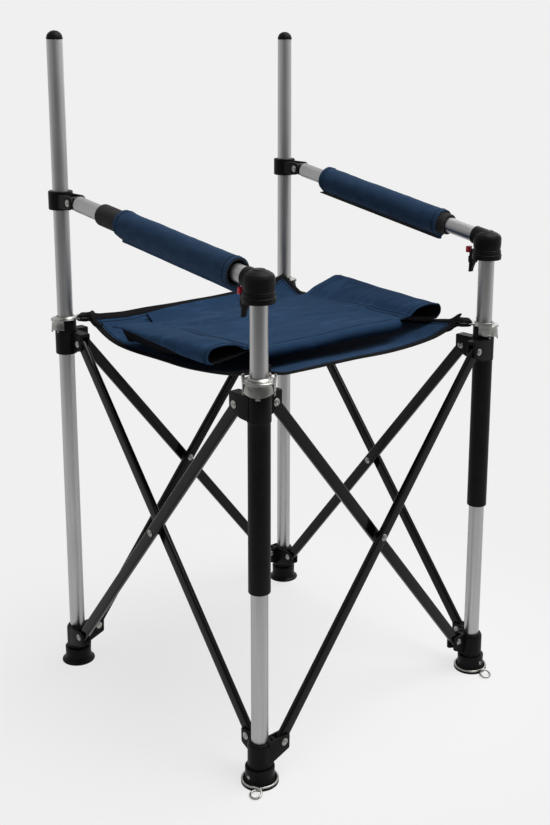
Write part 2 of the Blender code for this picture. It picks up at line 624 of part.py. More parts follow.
def post_collars():
    """Collar at the top of a front post, with the lug that carries the lever and the button."""
    ring = turned([
        (COLLAR_R - MM, COLLAR_TOP), (COLLAR_R, COLLAR_TOP - MM), (COLLAR_R, COLLAR_BOTTOM + MM),
        (COLLAR_R - MM, COLLAR_BOTTOM), (BORE_R, COLLAR_BOTTOM), (BORE_R, COLLAR_TOP),
    ], ring=True)
    lug_end = LEVER_AT + 2.5 * MM
    half = LEVER_WIDTH / 2
    low, high = COLLAR_BOTTOM + 0.2 * MM, COLLAR_TOP - 0.4 * MM
    lug = box((-half - 3 * MM, 14 * MM, low), (half + 3 * MM, lug_end, high), 0.8 * MM)
    collar = joined(ring, lug)
    cheek = [(LEVER_AT - 4 * MM, COLLAR_BOTTOM + MM)]
    cheek += arc((LEVER_AT - 0.5 * MM, LEVER_Z), 3.5 * MM, 180, 360, 6)
    cheek.append((LEVER_AT + 3 * MM, COLLAR_BOTTOM + MM))
    stand = axes((0, 1, 0), (0, 0, 1), (1, 0, 0))
    for low, high in ((half + GAP, half + 2.6 * MM), (-half - 2.6 * MM, -half - GAP)):
        collar = joined(collar, moved(extruded([cheek], low, high), stand))
    button_z = COLLAR_TOP - 2.2 * MM
    across = Matrix.Rotation(math.pi / 2, 4, "Y")
    pivot = Matrix.Translation((0, LEVER_AT - 0.5 * MM, LEVER_Z)) @ across
    pin = 1.5 * MM
    collar = cut(collar, moved(cylinder(pin + GAP, -10 * MM, 10 * MM, 12), pivot))
    backward = Matrix.Rotation(-math.pi / 2, 4, "X")
    stem_place = Matrix.Translation((0, 0, button_z - 1.6 * MM)) @ backward
    collar = cut(collar, moved(cylinder(2 * MM + GAP, 20 * MM, lug_end + MM, 12), stem_place))

    drop = LEVER_Z - LEVER_TIP_Z
    knuckle = COLLAR_BOTTOM - GAP - LEVER_Z
    outline = [*arc((0, 0), knuckle - 0.1 * MM, 0, 180, 6)]
    outline += [(-3 * MM, -3 * MM), (-0.6 * MM, -drop * 0.3), (1.7 * MM, -drop * 0.66)]
    outline += [*arc((5 * MM, 2.4 * MM - drop), 2.5 * MM, 180, 360, 6)]
    outline += [(6.6 * MM, -drop * 0.62), (4.8 * MM, -drop * 0.3)]
    lever = moved(extruded([outline], -half, half), stand)
    lever = joined(lever, moved(cylinder(pin, -half - 2.8 * MM, half + 2.8 * MM, 12), across))

    width, depth, height = BUTTON_SIZE
    face = lug_end + BUTTON_TRAVEL + GAP
    head = box((-width / 2, face, -height / 2), (width / 2, face + depth, height / 2), 0.8 * MM)
    stem = moved(cylinder(2 * MM, 23.5 * MM, face + MM, 12), Matrix.Translation((0, 0, -1.6 * MM)) @ backward)
    button = joined(head, stem)

    for side, index in (("right", 0), ("left", 1)):
        leg = Matrix.Translation(corner(index).translation)
        add_part(f"post_collar_{side}", collar, leg, "black_plastic")
        at = leg @ Matrix.Translation((0, LEVER_AT - 0.5 * MM, LEVER_Z))
        add_part(f"release_lever_{side}", lever, at, "black_plastic")
        add_part(f"lock_button_{side}", button, leg @ Matrix.Translation((0, 0, button_z)), "red_plastic")


def smooth(value, low, high):
    t = min(max((value - low) / (high - low), 0), 1)
    return t * t * (3 - 2 * t)


def edge_drop(side, along):
    """How far an edge hangs below the corners, along it from -1 to 1."""
    return SEAT_DROP[side] * (1 - abs(along) ** SEAT_POWER[side][along > 0])


def seat_point(u, v):
    """A point on the sling's middle surface, u across and v front to back, both from -1 to 1."""
    inset = SEAT_INSET / SEAT_HALF
    x = SEAT_HALF * u * (1 - inset * (1 - v * v))
    y = SEAT_HALF * v * (1 - inset * (1 - u * u))
    across, back = (1 + u) / 2, (1 + v) / 2
    sag = edge_drop("right", v) * (1 - across) + edge_drop("left", v) * across
    sag += edge_drop("front", u) * (1 - back) + edge_drop("rear", u) * back
    # The corners lie flat on the hangers' tongues.
    tie = math.hypot(HALF - abs(x), HALF - abs(y))
    flat = TONGUE_REACH + 6 * MM
    return Vector((x, y, SEAT_CORNER_Z - sag * smooth(tie, flat, flat + 24 * MM)))


def seat_height(x, y):
    """Height of the sling's middle surface at a place, its u and v found by going back and forth."""
    u, v = x / SEAT_HALF, y / SEAT_HALF
    for _ in range(6):
        found = seat_point(u, v)
        u = min(max(u + (x - found.x) / SEAT_HALF, -1), 1)
        v = min(max(v + (y - found.y) / SEAT_HALF, -1), 1)
    return seat_point(u, v).z


def sheet(points, thickness):
    """A closed sheet from a grid of points, with None where the grid has no cloth."""
    mesh = bpy.data.meshes.new("sheet")
    shape = bmesh.new()
    grid = [[point and shape.verts.new(point) for point in row] for row in points]
    for low, high in zip(grid, grid[1:]):
        for a, b, c, d in zip(low, low[1:], high[1:], high):
            if a and b and c and d:
                shape.faces.new((a, b, c, d))
    shape.to_mesh(mesh)
    shape.free()
    solidify = {"thickness": thickness, "offset": 0, "use_even_offset": True, "use_quality_normals": True}
    return evaluated(mesh, [("SOLIDIFY", solidify)])


def seat_slings():
    across, deep = 16, 8

    def closer(share):
        """Grid lines crowd towards the edges, where the cloth bends most."""
        return math.sin(math.pi / 2 * share)

    for name, sign in (("rear", 1), ("front", -1)):
        rows = []
        for j in range(deep + 1):
            v = sign * max(closer(j / deep), GAP / 2 / SEAT_HALF * 1.1)
            rows.append([seat_point(closer(-1 + 2 * i / across), v) for i in range(across + 1)])
        hinge = Vector((-SEAT_HALF, sign * SEAT_HALF, SEAT_CORNER_Z))
        mesh = moved(sheet(rows, CLOTH), Matrix.Translation(-hinge))
        add_part(f"seat_sling_{name}", mesh, Matrix.Translation(hinge), "blue_fabric", 60)


def panel_section():
    """The back panel's section as (x, lift, side): loop, panel, loop."""
    layer = PANEL_CLOTH + 0.5 * MM
    h, w, base = TUNNEL_HEIGHT, TUNNEL_WIDTH, TUNNEL_BASE
    curl = h / 2
    end = base + w - curl
    loop = [(base + 3 * MM, 0), (base + w * 0.45, -0.5 * MM), (end, 0)]
    loop += [(end + 0.95 * curl * math.sin(a), curl - curl * math.cos(a)) for a in (0.8, 1.57, 2.34)]
    loop += [(end, h), (base + w * 0.55, h * 0.92), (base + w * 0.28, h * 0.62)]
    loop += [(base + 7 * MM, layer + 2 * MM), (base - 3 * MM, layer), (base - 14 * MM, 1.2 * MM)]
    inside = [(base * k / 5, 0) for k in (4, 3, 2, 1)]
    half = loop + inside
    right = [(-x, z, "right") for x, z in half]
    left = [(x, z, "left") for x, z in reversed(half)]
    return right + [(0, 0, "left")] + left, len(loop) - 1


def back_panel():
    section, flap_from = panel_section()
    last = len(section) - 1
    ys = [PANEL_FRONT + (PANEL_TUNNEL_END - PANEL_FRONT) * k / 6 for k in range(7)]
    ys += [PANEL_TUNNEL_END + (PANEL_REAR - PANEL_TUNNEL_END) * k / 4 for k in range(1, 5)]
    rows = []
    for y in ys:
        row = []
        for i, (x, lift, side) in enumerate(section):
            beyond = y > PANEL_TUNNEL_END + 1e-6
            if beyond and not flap_from <= i <= last - flap_from:
                row.append(None)
                continue
            rest = smooth(PANEL_REAR - y, 10 * MM, 90 * MM)
            low, high = TUNNEL_RISE[side]
            rise = low + (high - low) * (y - PANEL_FRONT) / (PANEL_TUNNEL_END - PANEL_FRONT)
            rise *= max(abs(x) - TUNNEL_BASE, 0) / TUNNEL_WIDTH
            tilt = PANEL_TILT * (min(max(x, -0.85 * TUNNEL_BASE), TUNNEL_BASE) + 0.85 * TUNNEL_BASE)
            taper = 1 - 0.12 * (1 - smooth(PANEL_REAR - y, 0, PANEL_REAR - PANEL_TUNNEL_END))
            px = x * taper
            py = y + PANEL_SHEAR * px * smooth(PANEL_REAR - y, 0, 120 * MM)
            on_seat = seat_height(px, py) + CLOTH / 2 + PANEL_CLOTH / 2 + PANEL_REST
            free = PANEL_Z + tilt + rise
            row.append(Vector((px, py, on_seat + (free - on_seat) * rest + lift)))
        rows.append(row)
    hinge = Vector((0, PANEL_REAR, PANEL_Z))
    mesh = moved(sheet(rows, PANEL_CLOTH), Matrix.Translation(-hinge))
    add_part("back_panel", mesh, Matrix.Translation(hinge), "blue_fabric", 60)


leg_tubes()
feet()
peg_rings()
hubs()
hangers()
bars()
clamps()
arms()
post_collars()
seat_slings()
back_panel()
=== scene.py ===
"""Looks of the folding child's camping chair: finer frame parts, sewn seat, folded back panel, arm pads.

Shapes are drawn in the chair's own frame, centred between the four legs, and moved to the row frame when
they are placed. Metres, +Z up, the sitter faces -Y, the sitter's left is +X.
"""
import math

import bmesh
import bpy
from mathutils import Matrix, Vector, noise


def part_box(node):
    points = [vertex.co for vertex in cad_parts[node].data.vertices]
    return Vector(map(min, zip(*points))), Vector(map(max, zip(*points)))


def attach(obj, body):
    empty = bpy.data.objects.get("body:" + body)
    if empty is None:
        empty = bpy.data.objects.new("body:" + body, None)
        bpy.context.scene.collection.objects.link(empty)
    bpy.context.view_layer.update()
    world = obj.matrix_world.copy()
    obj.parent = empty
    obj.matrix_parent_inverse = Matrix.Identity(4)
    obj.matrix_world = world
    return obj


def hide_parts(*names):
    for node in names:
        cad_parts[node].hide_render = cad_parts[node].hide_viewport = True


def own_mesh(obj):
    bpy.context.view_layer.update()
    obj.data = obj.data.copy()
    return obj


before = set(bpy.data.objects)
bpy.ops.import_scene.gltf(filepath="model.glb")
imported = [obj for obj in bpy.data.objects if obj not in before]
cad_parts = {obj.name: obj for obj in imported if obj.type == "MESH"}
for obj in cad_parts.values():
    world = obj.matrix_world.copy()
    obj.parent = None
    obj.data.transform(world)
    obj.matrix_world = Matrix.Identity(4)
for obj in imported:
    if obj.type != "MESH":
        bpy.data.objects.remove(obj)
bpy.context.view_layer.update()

MM = 0.001
GAP = 0.3 * MM
ROUND = 48

# Legs and pivots.
HALF = 210 * MM
TUBE_R = 11 * MM
TUBE_WALL = 1.2 * MM
BORE_R = TUBE_R + GAP
POLE_TOP = 920 * MM
CAP_TOP = 932 * MM
TUBE_FOOT = 24.5 * MM
FRONT_TUBE_TOP = 465 * MM
POST_BOTTOM = 467 * MM
PIVOT_OFFSET = 28 * MM
FOOT_PIVOT_Z = 51 * MM
HUB_PIVOT_Z = 499.5 * MM
BAR_PLANE = 8 * MM

# Bars and their rivets.
BAR_WIDTH = 16 * MM
BAR_THICK = 8 * MM
BAR_EDGE = 2.6 * MM
PIN_R = 3 * MM
SPACER_R = 5.4 * MM
CHEEK = 3.5 * MM
CLEVIS = BAR_THICK + 2 * GAP + 2 * CHEEK
EAR_LENGTH = 37.5 * MM
SLOT_START = 17.6 * MM
SPAN = 2 * (HALF - PIVOT_OFFSET)
RISE = HUB_PIVOT_Z - FOOT_PIVOT_Z
BAR_LENGTH = math.hypot(SPAN, RISE)
BAR_ANGLE = math.atan2(RISE, SPAN)

# Hubs and feet.
HUB_R = 15 * MM
HUB_BOTTOM = 482 * MM
HUB_TOP = 532 * MM
HUB_EAR_TOP = 514.5 * MM
HUB_WEB = 509.9 * MM
SLEEVE_R = 14 * MM
SLEEVE_BOTTOM = 262 * MM
BRACKET_R = 15.8 * MM
BRACKET_LOW = 23.3 * MM
BRACKET_TOP = 58 * MM
BRACKET_EAR_TOP = 59 * MM
FOOT_TOP = 23 * MM
FOOT_R = 18.25 * MM
FLANGE_R = 24.25 * MM
FLANGE = 2.8 * MM
SCREW_Z = 13 * MM

# Peg rings.
WIRE_R = 1.5 * MM
HOOP_R = 22.8 * MM
HOOP_Z = 4.825 * MM
EYE_R = 7.1 * MM
EYE_AT = 33.4 * MM
EYE_HEADING = {"right": 220.0, "left": 261.0}

# Seat hangers.
HANGER_TOP = 536 * MM
HANGER_SKIRT = 519 * MM
HANGER_SHEET = 1.2 * MM
TONGUE_REACH = 36 * MM
TONGUE_WIDTH = 22 * MM

# Arms.
CLAMP_Z = {"right": 702 * MM, "left": 719.5 * MM}
CLAMP_R = 17 * MM
CLAMP_HEIGHT = 26 * MM
ARM_PIVOT = 36.5 * MM
EAR_R = 9.7 * MM
EAR_INSIDE = 8.3 * MM
EAR_OUTSIDE = 12.3 * MM
ARM_STOP = 8.5 * MM
ARM_FRONT_Z = {"right": 651 * MM, "left": 654 * MM}
GRIP_R = 15 * MM
PAD_R = 18.2 * MM
PAD_FLAP = 24.5 * MM
GRIP_SPAN = {"right": (105 * MM, -150 * MM), "left": (100 * MM, -141 * MM)}
PAD_SPAN = {"right": (57 * MM, -171 * MM), "left": (110 * MM, -129 * MM)}
COLLAR_BOTTOM = 626.2 * MM
COLLAR_TOP = 638 * MM
COLLAR_R = 20.5 * MM
ELBOW_SEAT = 0.04 * MM
BOSS_R = 12.8 * MM
BOSS_REACH = 22 * MM
LEVER_AT = 23.5 * MM
LEVER_Z = 622.5 * MM
LEVER_DROP = 18.5 * MM
LEVER_HALF = 3.5 * MM
BUTTON_SIZE = (9 * MM, 5.6 * MM, 9.2 * MM)
BUTTON_FACE = 29.3 * MM
BUTTON_Z = 635.8 * MM

# Cloth.
CLOTH = 1.4 * MM
SEAT_HALF = 187 * MM
SEAT_INSET = 11 * MM
SEAT_CORNER_Z = 537.8 * MM
SEAT_DROP = {"rear": (2.8, 2.8), "front": (20.5, 24.5), "right": (35.8, 35.8), "left": (31.8, 31.8)}
SEAT_POWER = {"rear": (5, 5), "front": (5, 4), "right": (1.9, 5.2), "left": (0.78, 1.4)}
# How far each corner of the seat stands up, and how far from the leg that has faded.
CORNER_LIFT = {"front_right": (8, 50), "front_left": (9, 50), "rear_left": (9, 80), "rear_right": (3, 50)}
BINDING = 7.5 * MM
STITCH_PITCH = 3.4 * MM
STITCH_HALF = 1.6 * MM
THREAD_R = 0.68 * MM
PANEL_CLOTH = 1.6 * MM
HEM = 11 * MM
REAR_SEAM = 9 * MM
PANEL_FRONT = -120 * MM
PANEL_TUNNEL_END = 86 * MM
PANEL_REAR = 168 * MM
PANEL_Z = 531 * MM
PANEL_SHEAR = -0.17
PANEL_TILT = 0.045
TUNNEL_BASE = 126 * MM
TUNNEL_WIDTH = 62 * MM
TUNNEL_HEIGHT = 21 * MM
TUNNEL_TOP = {"right": (8 * MM, 3 * MM), "left": (13 * MM, 26.2 * MM)}
TUNNEL_REACH = {"right": 15 * MM, "left": 2 * MM}
TUNNEL_PRESS = {"right": 0.85, "left": 0.8}
TUNNEL_SLACK = {"right": 22 * MM, "left": 6 * MM}
# How many points of the panel's section lie in a tunnel's lower layer.
TUNNEL_UNDER = 13

CORNERS = ("front_right", "front_left", "rear_left", "rear_right")
SIDES = ("right", "front", "left", "rear")
FRONT = (("right", 0), ("left", 1))
REAR = (("right", 3), ("left", 2))

# Studio: the backdrop's tone and the level direction from the camera to the chair.
BACKDROP = (0.871, 0.871, 0.871)
AWAY = (0.69, 0.73, 0)

# The chair's own frame stands this far from the row frame.
low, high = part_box("rear_pole_right")
SHIFT = Vector(((low.x + high.x) / 2 + HALF, (low.y + high.y) / 2 - HALF, 0))
BENCH = bpy.context.scene.collection


# Mesh helpers: each makes a plain mesh in its own local frame.
def evaluated(data, modifiers=()):
    """The mesh of an object data block after its modifiers, with its normals pointing out."""
    bench = bpy.data.objects.new("bench", data)
    BENCH.objects.link(bench)
    for kind, values in modifiers:
        modifier = bench.modifiers.new(kind.title(), kind)
        for key, value in values.items():
            setattr(modifier, key, value)
    mesh = plain_mesh(bench)
    bpy.data.objects.remove(bench, do_unlink=True)
    return mesh


def plain_mesh(bench):
    bpy.context.view_layer.update()
    graph = bpy.context.evaluated_depsgraph_get()
    mesh = bpy.data.meshes.new_from_object(bench.evaluated_get(graph))
    shape = bmesh.new()
    shape.from_mesh(mesh)
    bmesh.ops.remove_doubles(shape, verts=shape.verts, dist=1e-6)
    bmesh.ops.recalc_face_normals(shape, faces=shape.faces)
    shape.to_mesh(mesh)
    shape.free()
    return mesh


def meshed(shape):
    """The mesh of an edited shape, which is then let go."""
    mesh = bpy.data.meshes.new("shape")
    shape.to_mesh(mesh)
    shape.free()
    return mesh


def in_mm(pairs):
    return [(a * MM, b * MM) for a, b in pairs]


def softened(profile, radius, closed=False, steps=4):
    """A flat outline with its corners rounded."""
    points = [Vector(p) for p in profile]
    count = len(points)
    made = []
    for i, here in enumerate(points):
        if not closed and i in (0, count - 1):
            made.append(here)
            continue
        back, ahead = points[i - 1] - here, points[(i + 1) % count] - here
        reach = min(radius, 0.45 * back.length, 0.45 * ahead.length)
        a, b = here + back.normalized() * reach, here + ahead.normalized() * reach
        for k in range(steps + 1):
            t = k / steps
            made.append(a * (1 - t) ** 2 + here * (2 * t * (1 - t)) + b * t * t)
    return [tuple(p) for p in made]


def turned(profile, ring=False, segments=ROUND, soft=0.0):
    """A profile of (radius, height) turned about Z. A ring's profile closes on itself."""
    if soft:
        profile = softened(profile, soft, ring)
    mesh = bpy.data.meshes.new("turned")
    edges = [(i, i + 1) for i in range(len(profile) - 1)]
    if ring:
        edges.append((len(profile) - 1, 0))
    mesh.from_pydata([(r, 0, z) for r, z in profile], edges, [])
    screw = {"steps": segments, "render_steps": segments, "use_merge_vertices": True, "merge_threshold": 1e-6}
    return evaluated(mesh, [("SCREW", screw)])


def tube(radius, bore, bottom, top, soft=0.4 * MM):
    return turned([(radius, top), (radius, bottom), (bore, bottom), (bore, top)], True, soft=soft)


def rod(radius, first, last, segments=ROUND, soft=0.0):
    return turned([(0, first), (radius, first), (radius, last), (0, last)], segments=segments, soft=soft)


def add_line(curve, points, closed):
    """A line of points in a curve."""
    spline = curve.splines.new("POLY")
    spline.points.add(len(points) - 1)
    for item, where in zip(spline.points, points):
        item.co = (*where, 1)
    spline.use_cyclic_u = closed


def plate(outlines, low, high, edge=0.5 * MM):
    """Flat outlines in XY, the first filled and the others holes, as a plate with rounded edges."""
    curve = bpy.data.curves.new("outline", "CURVE")
    curve.dimensions = "2D"
    curve.fill_mode = "BOTH"
    curve.extrude = (high - low) / 2 - edge
    curve.bevel_depth = edge
    curve.bevel_resolution = 2
    curve.offset = -edge
    for outline in outlines:
        add_line(curve, [(x, y, 0) for x, y in outline], True)
    mesh = evaluated(curve)
    mesh.transform(Matrix.Translation((0, 0, (low + high) / 2)))
    return mesh


def block(low, high, edge):
    """A box with rounded edges."""
    shape = bmesh.new()
    low, high = Vector(low), Vector(high)
    size = Matrix.Diagonal((*(high - low), 1))
    bmesh.ops.create_cube(shape, size=1, matrix=Matrix.Translation((low + high) / 2) @ size)
    return evaluated(meshed(shape), [("BEVEL", {"width": edge, "segments": 3, "limit_method": "ANGLE"})])


def lofted(rings, caps=True, closed=False):
    """Rings of points joined one to the next, with capped ends or closed on itself."""
    shape = bmesh.new()
    rows = [[shape.verts.new(p) for p in ring] for ring in rings]
    following = rows[1:] + rows[:1] if closed else rows[1:]
    for low, high in zip(rows, following):
        for a, b, c, d in zip(low, low[1:] + low[:1], high[1:] + high[:1], high):
            shape.faces.new((a, b, c, d))
    if caps and not closed:
        shape.faces.new(rows[0])
        shape.faces.new(rows[-1])
    return evaluated(meshed(shape))


def swept(profile, start, end, steps):
    """A closed profile of (radius, height) turned about Z through part of a turn, in degrees."""
    rings = []
    for k in range(steps + 1):
        a = math.radians(start + (end - start) * k / steps)
        rings.append([(r * math.cos(a), r * math.sin(a), z) for r, z in profile])
    return lofted(rings)


def pressed(outline, soft, start, end, steps):
    """Sheet metal of a rounded section, bent about Z."""
    return swept(softened(outline, soft, True), start, end, steps)


def wire(path, radius, closed):
    """Round wire along a path."""
    curve = bpy.data.curves.new("wire", "CURVE")
    curve.dimensions = "3D"
    curve.bevel_depth = radius
    curve.bevel_resolution = 4
    curve.use_fill_caps = True
    add_line(curve, path, closed)
    return evaluated(curve)


def gathered(*meshes):
    """Several closed bodies in one mesh."""
    shape = bmesh.new()
    for part in meshes:
        shape.from_mesh(part)
    return meshed(shape)


def moved(mesh, matrix):
    made = mesh.copy()
    made.transform(matrix)
    return made


def arc(centre, radius, start, end, steps):
    """Points on an arc, angles in degrees."""
    angles = [math.radians(start + (end - start) * i / steps) for i in range(steps + 1)]
    return [(centre[0] + radius * math.cos(a), centre[1] + radius * math.sin(a)) for a in angles]


def flowing(points, steps, closed=False):
    """A smooth line through the points."""
    points = [Vector(p) for p in points]
    count = len(points)
    spans = count if closed else count - 1
    made = []
    for i in range(spans):
        if closed:
            a, b, c, d = (points[(i + k) % count] for k in (-1, 0, 1, 2))
        else:
            a, b, c, d = (points[min(max(i + k, 0), count - 1)] for k in (-1, 0, 1, 2))
        for k in range(steps):
            t = k / steps
            p = b * 2 + (c - a) * t + (a * 2 - b * 5 + c * 4 - d) * t * t
            made.append((p + (b * 3 - a - c * 3 + d) * t ** 3) / 2)
    if not closed:
        made.append(points[-1])
    return made


def smooth(value, low, high):
    t = min(max((value - low) / (high - low), 0), 1)
    return t * t * (3 - 2 * t)


def quarter(turns):
    return Matrix.Rotation(math.pi / 2 * turns, 4, "Z")


def corner(index):
    """The frame of a leg: its axis at the origin, the front right corner turned to the others."""
    return quarter(index) @ Matrix.Translation((-HALF, -HALF, 0))


def leg_at(index, z=0.0):
    """The leg's place without its turn."""
    return Matrix.Translation(corner(index).translation + Vector((0, 0, z)))


def axes(x, y, z, origin=(0, 0, 0)):
    """A matrix from its three axes and its origin."""
    return Matrix.Translation(origin) @ Matrix((x, y, z)).transposed().to_4x4()


ALONG_Y = axes((0, 1, 0), (0, 0, 1), (1, 0, 0))
ALONG_X = axes((1, 0, 0), (0, 0, 1), (0, -1, 0))
ACROSS = Matrix.Rotation(math.pi / 2, 4, "Y")
INWARD = Matrix.Rotation(math.pi / 4, 4, "Z")
# In an arm's frame: a turned part's height runs forward along the arm, and a plate stands upright along it.
FORWARD = ALONG_X
UPRIGHT = axes((0, -1, 0), (0, 0, 1), (-1, 0, 0))


# Materials: every finish is built from procedural textures.
def add(tree, kind, inputs=None, **settings):
    """A node with its settings, its inputs given as values or as sockets to link from."""
    node = tree.nodes.new(kind)
    for key, value in settings.items():
        setattr(node, key, value)
    for key, value in (inputs or {}).items():
        if isinstance(value, bpy.types.NodeSocket):
            tree.links.new(value, node.inputs[key])
        else:
            node.inputs[key].default_value = value
    return node


def finish_material(name, **values):
    """A new material with plain values set on its shader."""
    made = bpy.data.materials.new(name)
    made.use_nodes = True
    shader = made.node_tree.nodes["Principled BSDF"]
    for key, value in values.items():
        shader.inputs[key.replace("_", " ")].default_value = value
    return made, made.node_tree, shader


def maths(tree, operation, *values):
    return add(tree, "ShaderNodeMath", dict(enumerate(values)), operation=operation).outputs[0]


def dot(tree, vector, way):
    return add(tree, "ShaderNodeVectorMath", {0: vector, 1: way}, operation="DOT_PRODUCT").outputs["Value"]


def between(tree, value, start, end, low=0.0, high=1.0):
    """A value that runs from start to end, mapped to run from low to high."""
    values = {"Value": value, "From Min": start, "From Max": end, "To Min": low, "To Max": high}
    return add(tree, "ShaderNodeMapRange", values).outputs["Result"]


def mix(tree, share, first, second):
    return add(tree, "ShaderNodeMix", {0: share, 6: first, 7: second}, data_type="RGBA").outputs[2]


def object_place(tree, scale=(1, 1, 1)):
    place = add(tree, "ShaderNodeTexCoord").outputs["Object"]
    return add(tree, "ShaderNodeMapping", {"Vector": place, "Scale": scale}).outputs["Vector"]


def noise_at(tree, place, scale, detail=3.0):
    values = {"Vector": place, "Scale": scale, "Detail": detail}
    return add(tree, "ShaderNodeTexNoise", values).outputs["Fac"]


def ramp(tree, value, low, high, start=0.3, end=0.7):
    """A value mapped to run between two colours."""
    node = add(tree, "ShaderNodeValToRGB", {"Fac": value})
    node.color_ramp.elements[0].position = start
    node.color_ramp.elements[1].position = end
    node.color_ramp.elements[0].color = (*low, 1)
    node.color_ramp.elements[1].color = (*high, 1)
    return node.outputs["Color"]


def span(tree, value, low, high):
    """A value from 0.3 to 0.7 mapped to run between two numbers."""
    return between(tree, value, 0.3, 0.7, low, high)


def bump(tree, shader, height, strength, distance, under=None):
    values = {"Height": height, "Strength": strength, "Distance": distance}
    if under:
        values["Normal"] = under
    normal = add(tree, "ShaderNodeBump", values).outputs["Normal"]
    tree.links.new(normal, shader.inputs["Normal"])
    return normal


def dress(tree, shader, tint, low, high, relief, strength, depth, rough=None):
    """Colour, relief and roughness, each led by a texture."""
    tree.links.new(ramp(tree, tint, low, high), shader.inputs["Base Color"])
    if rough:
        tree.links.new(span(tree, *rough), shader.inputs["Roughness"])
    bump(tree, shader, relief, strength, depth)


def tube_material(name, scale, tone=1.0):
    """Drawn aluminium: fine lines along the tube. A tone below one paints shade into the colour."""
    made, tree, shader = finish_material(name, Metallic=1.0)
    lines = noise_at(tree, object_place(tree, scale), 1.0)
    blotch = noise_at(tree, object_place(tree), 14.0)
    low, high = (tuple(tone * c for c in one) for one in ((0.37, 0.37, 0.372), (0.45, 0.448, 0.442)))
    dress(tree, shader, lines, low, high, lines, 0.12, 0.05 * MM, (blotch, 0.34, 0.42))
    return made


def moulded_material(name, colour, light, rough, grain, gloss=0.07):
    """Moulded plastic with a fine grained skin."""
    made, tree, shader = finish_material(name, Specular_IOR_Level=gloss)
    place = object_place(tree)
    skin = noise_at(tree, place, grain, 2.0)
    wear = noise_at(tree, place, 45.0)
    dress(tree, shader, wear, colour, light, skin, 0.18, 0.12 * MM, (wear, rough - 0.05, rough + 0.06))
    return made


def coated_material(name):
    """Semi-gloss black coating with a slight orange peel."""
    made, tree, shader = finish_material(name, Specular_IOR_Level=0.14)
    place = object_place(tree)
    peel = noise_at(tree, place, 420.0, 2.0)
    wear = noise_at(tree, place, 30.0)
    dark, light = (0.0012, 0.0012, 0.0015), (0.0025, 0.0025, 0.003)
    dress(tree, shader, wear, dark, light, peel, 0.08, 0.2 * MM, (wear, 0.14, 0.2))
    return made


def zinc_material(name):
    """Bright zinc plating with a faint yellow tint."""
    made, tree, shader = finish_material(name, Metallic=1.0)
    place = object_place(tree)
    cloud = noise_at(tree, place, 60.0)
    scratch = noise_at(tree, object_place(tree, (900, 120, 500)), 1.0)
    dark, light = (0.20, 0.205, 0.19), (0.36, 0.365, 0.34)
    dress(tree, shader, cloud, dark, light, scratch, 0.04, 0.03 * MM, (cloud, 0.26, 0.34))
    return made


def foam_material(name):
    """Dark closed-cell foam."""
    made, tree, shader = finish_material(name, Roughness=0.92, Specular_IOR_Level=0.2)
    place = object_place(tree)
    values = {"Vector": place, "Scale": 900.0}
    cells = add(tree, "ShaderNodeTexVoronoi", values).outputs["Distance"]
    shade = noise_at(tree, place, 120.0)
    dress(tree, shader, shade, (0.012, 0.0115, 0.0115), (0.026, 0.025, 0.025), cells, 0.5, 0.5 * MM)
    return made


def woven_material(name, dark, light, pitch, ribs=0.0, sheen=0.01, fold_paleness=0.0):
    """Plain weave from the cloth's own UVs, in metres. Ribs add twill lines; a paleness setting adds paler
    lines along the folds, in patches.
    """
    made, tree, shader = finish_material(name, Roughness=0.9, Sheen_Weight=sheen, Sheen_Roughness=0.45)
    shader.inputs["Specular IOR Level"].default_value = 0.05
    cloth = add(tree, "ShaderNodeUVMap", uv_map="weave").outputs["UV"]
    turns = math.tau / pitch
    split = add(tree, "ShaderNodeSeparateXYZ", {"Vector": cloth}).outputs
    threads = [maths(tree, "SINE", maths(tree, "MULTIPLY", split[axis], turns)) for axis in ("X", "Y")]
    crossing = maths(tree, "MULTIPLY", *threads)
    if ribs:
        slant = maths(tree, "MULTIPLY", dot(tree, cloth, (0.8, 0.6, 0)), turns / 1.6)
        crossing = maths(tree, "ADD", crossing, maths(tree, "MULTIPLY", maths(tree, "SINE", slant), ribs))
    weave = between(tree, crossing, -1.0 - ribs, 1.0 + ribs)
    uneven = noise_at(tree, cloth, 55.0, 4.0)
    stretched = {"Vector": cloth, "Scale": (40, 900, 1)}
    slub = noise_at(tree, add(tree, "ShaderNodeMapping", stretched).outputs[0], 1.0)
    shade = maths(tree, "DIVIDE", maths(tree, "ADD", maths(tree, "ADD", weave, uneven), slub), 3.0)
    colour = ramp(tree, shade, dark, light, 0.32, 0.68)
    slanted = {"Vector": cloth, "Rotation": (0, 0, 0.35), "Scale": (5, 17, 1)}
    folds = noise_at(tree, add(tree, "ShaderNodeMapping", slanted).outputs[0], 1.0, 3.0)
    # The colour turns paler along the fold lines, in patches.
    if fold_paleness:
        off = maths(tree, "ABSOLUTE", maths(tree, "SUBTRACT", folds, 0.5))
        patchy = span(tree, noise_at(tree, cloth, 22.0, 2.0), 0.0, fold_paleness)
        amount = maths(tree, "MULTIPLY", between(tree, off, 0.0, 0.03, 1.0, 0.0), patchy)
        colour = mix(tree, amount, colour, (*(1.75 * c for c in light), 1))
    # Marked faces are coloured near black: painted shade for the cloth's back faces and the tunnels' lower
    # layers.
    back = add(tree, "ShaderNodeAttribute", attribute_name="painted_shade").outputs["Fac"]
    tree.links.new(mix(tree, back, colour, (0.006, 0.006, 0.008, 1)), shader.inputs["Base Color"])
    creases = noise_at(tree, cloth, 38.0, 3.0)
    under = bump(tree, shader, folds, 0.5, 5 * MM)
    under = bump(tree, shader, creases, 0.45, 1.5 * MM, under)
    bump(tree, shader, weave, 0.55, 0.18 * MM, under)
    return made


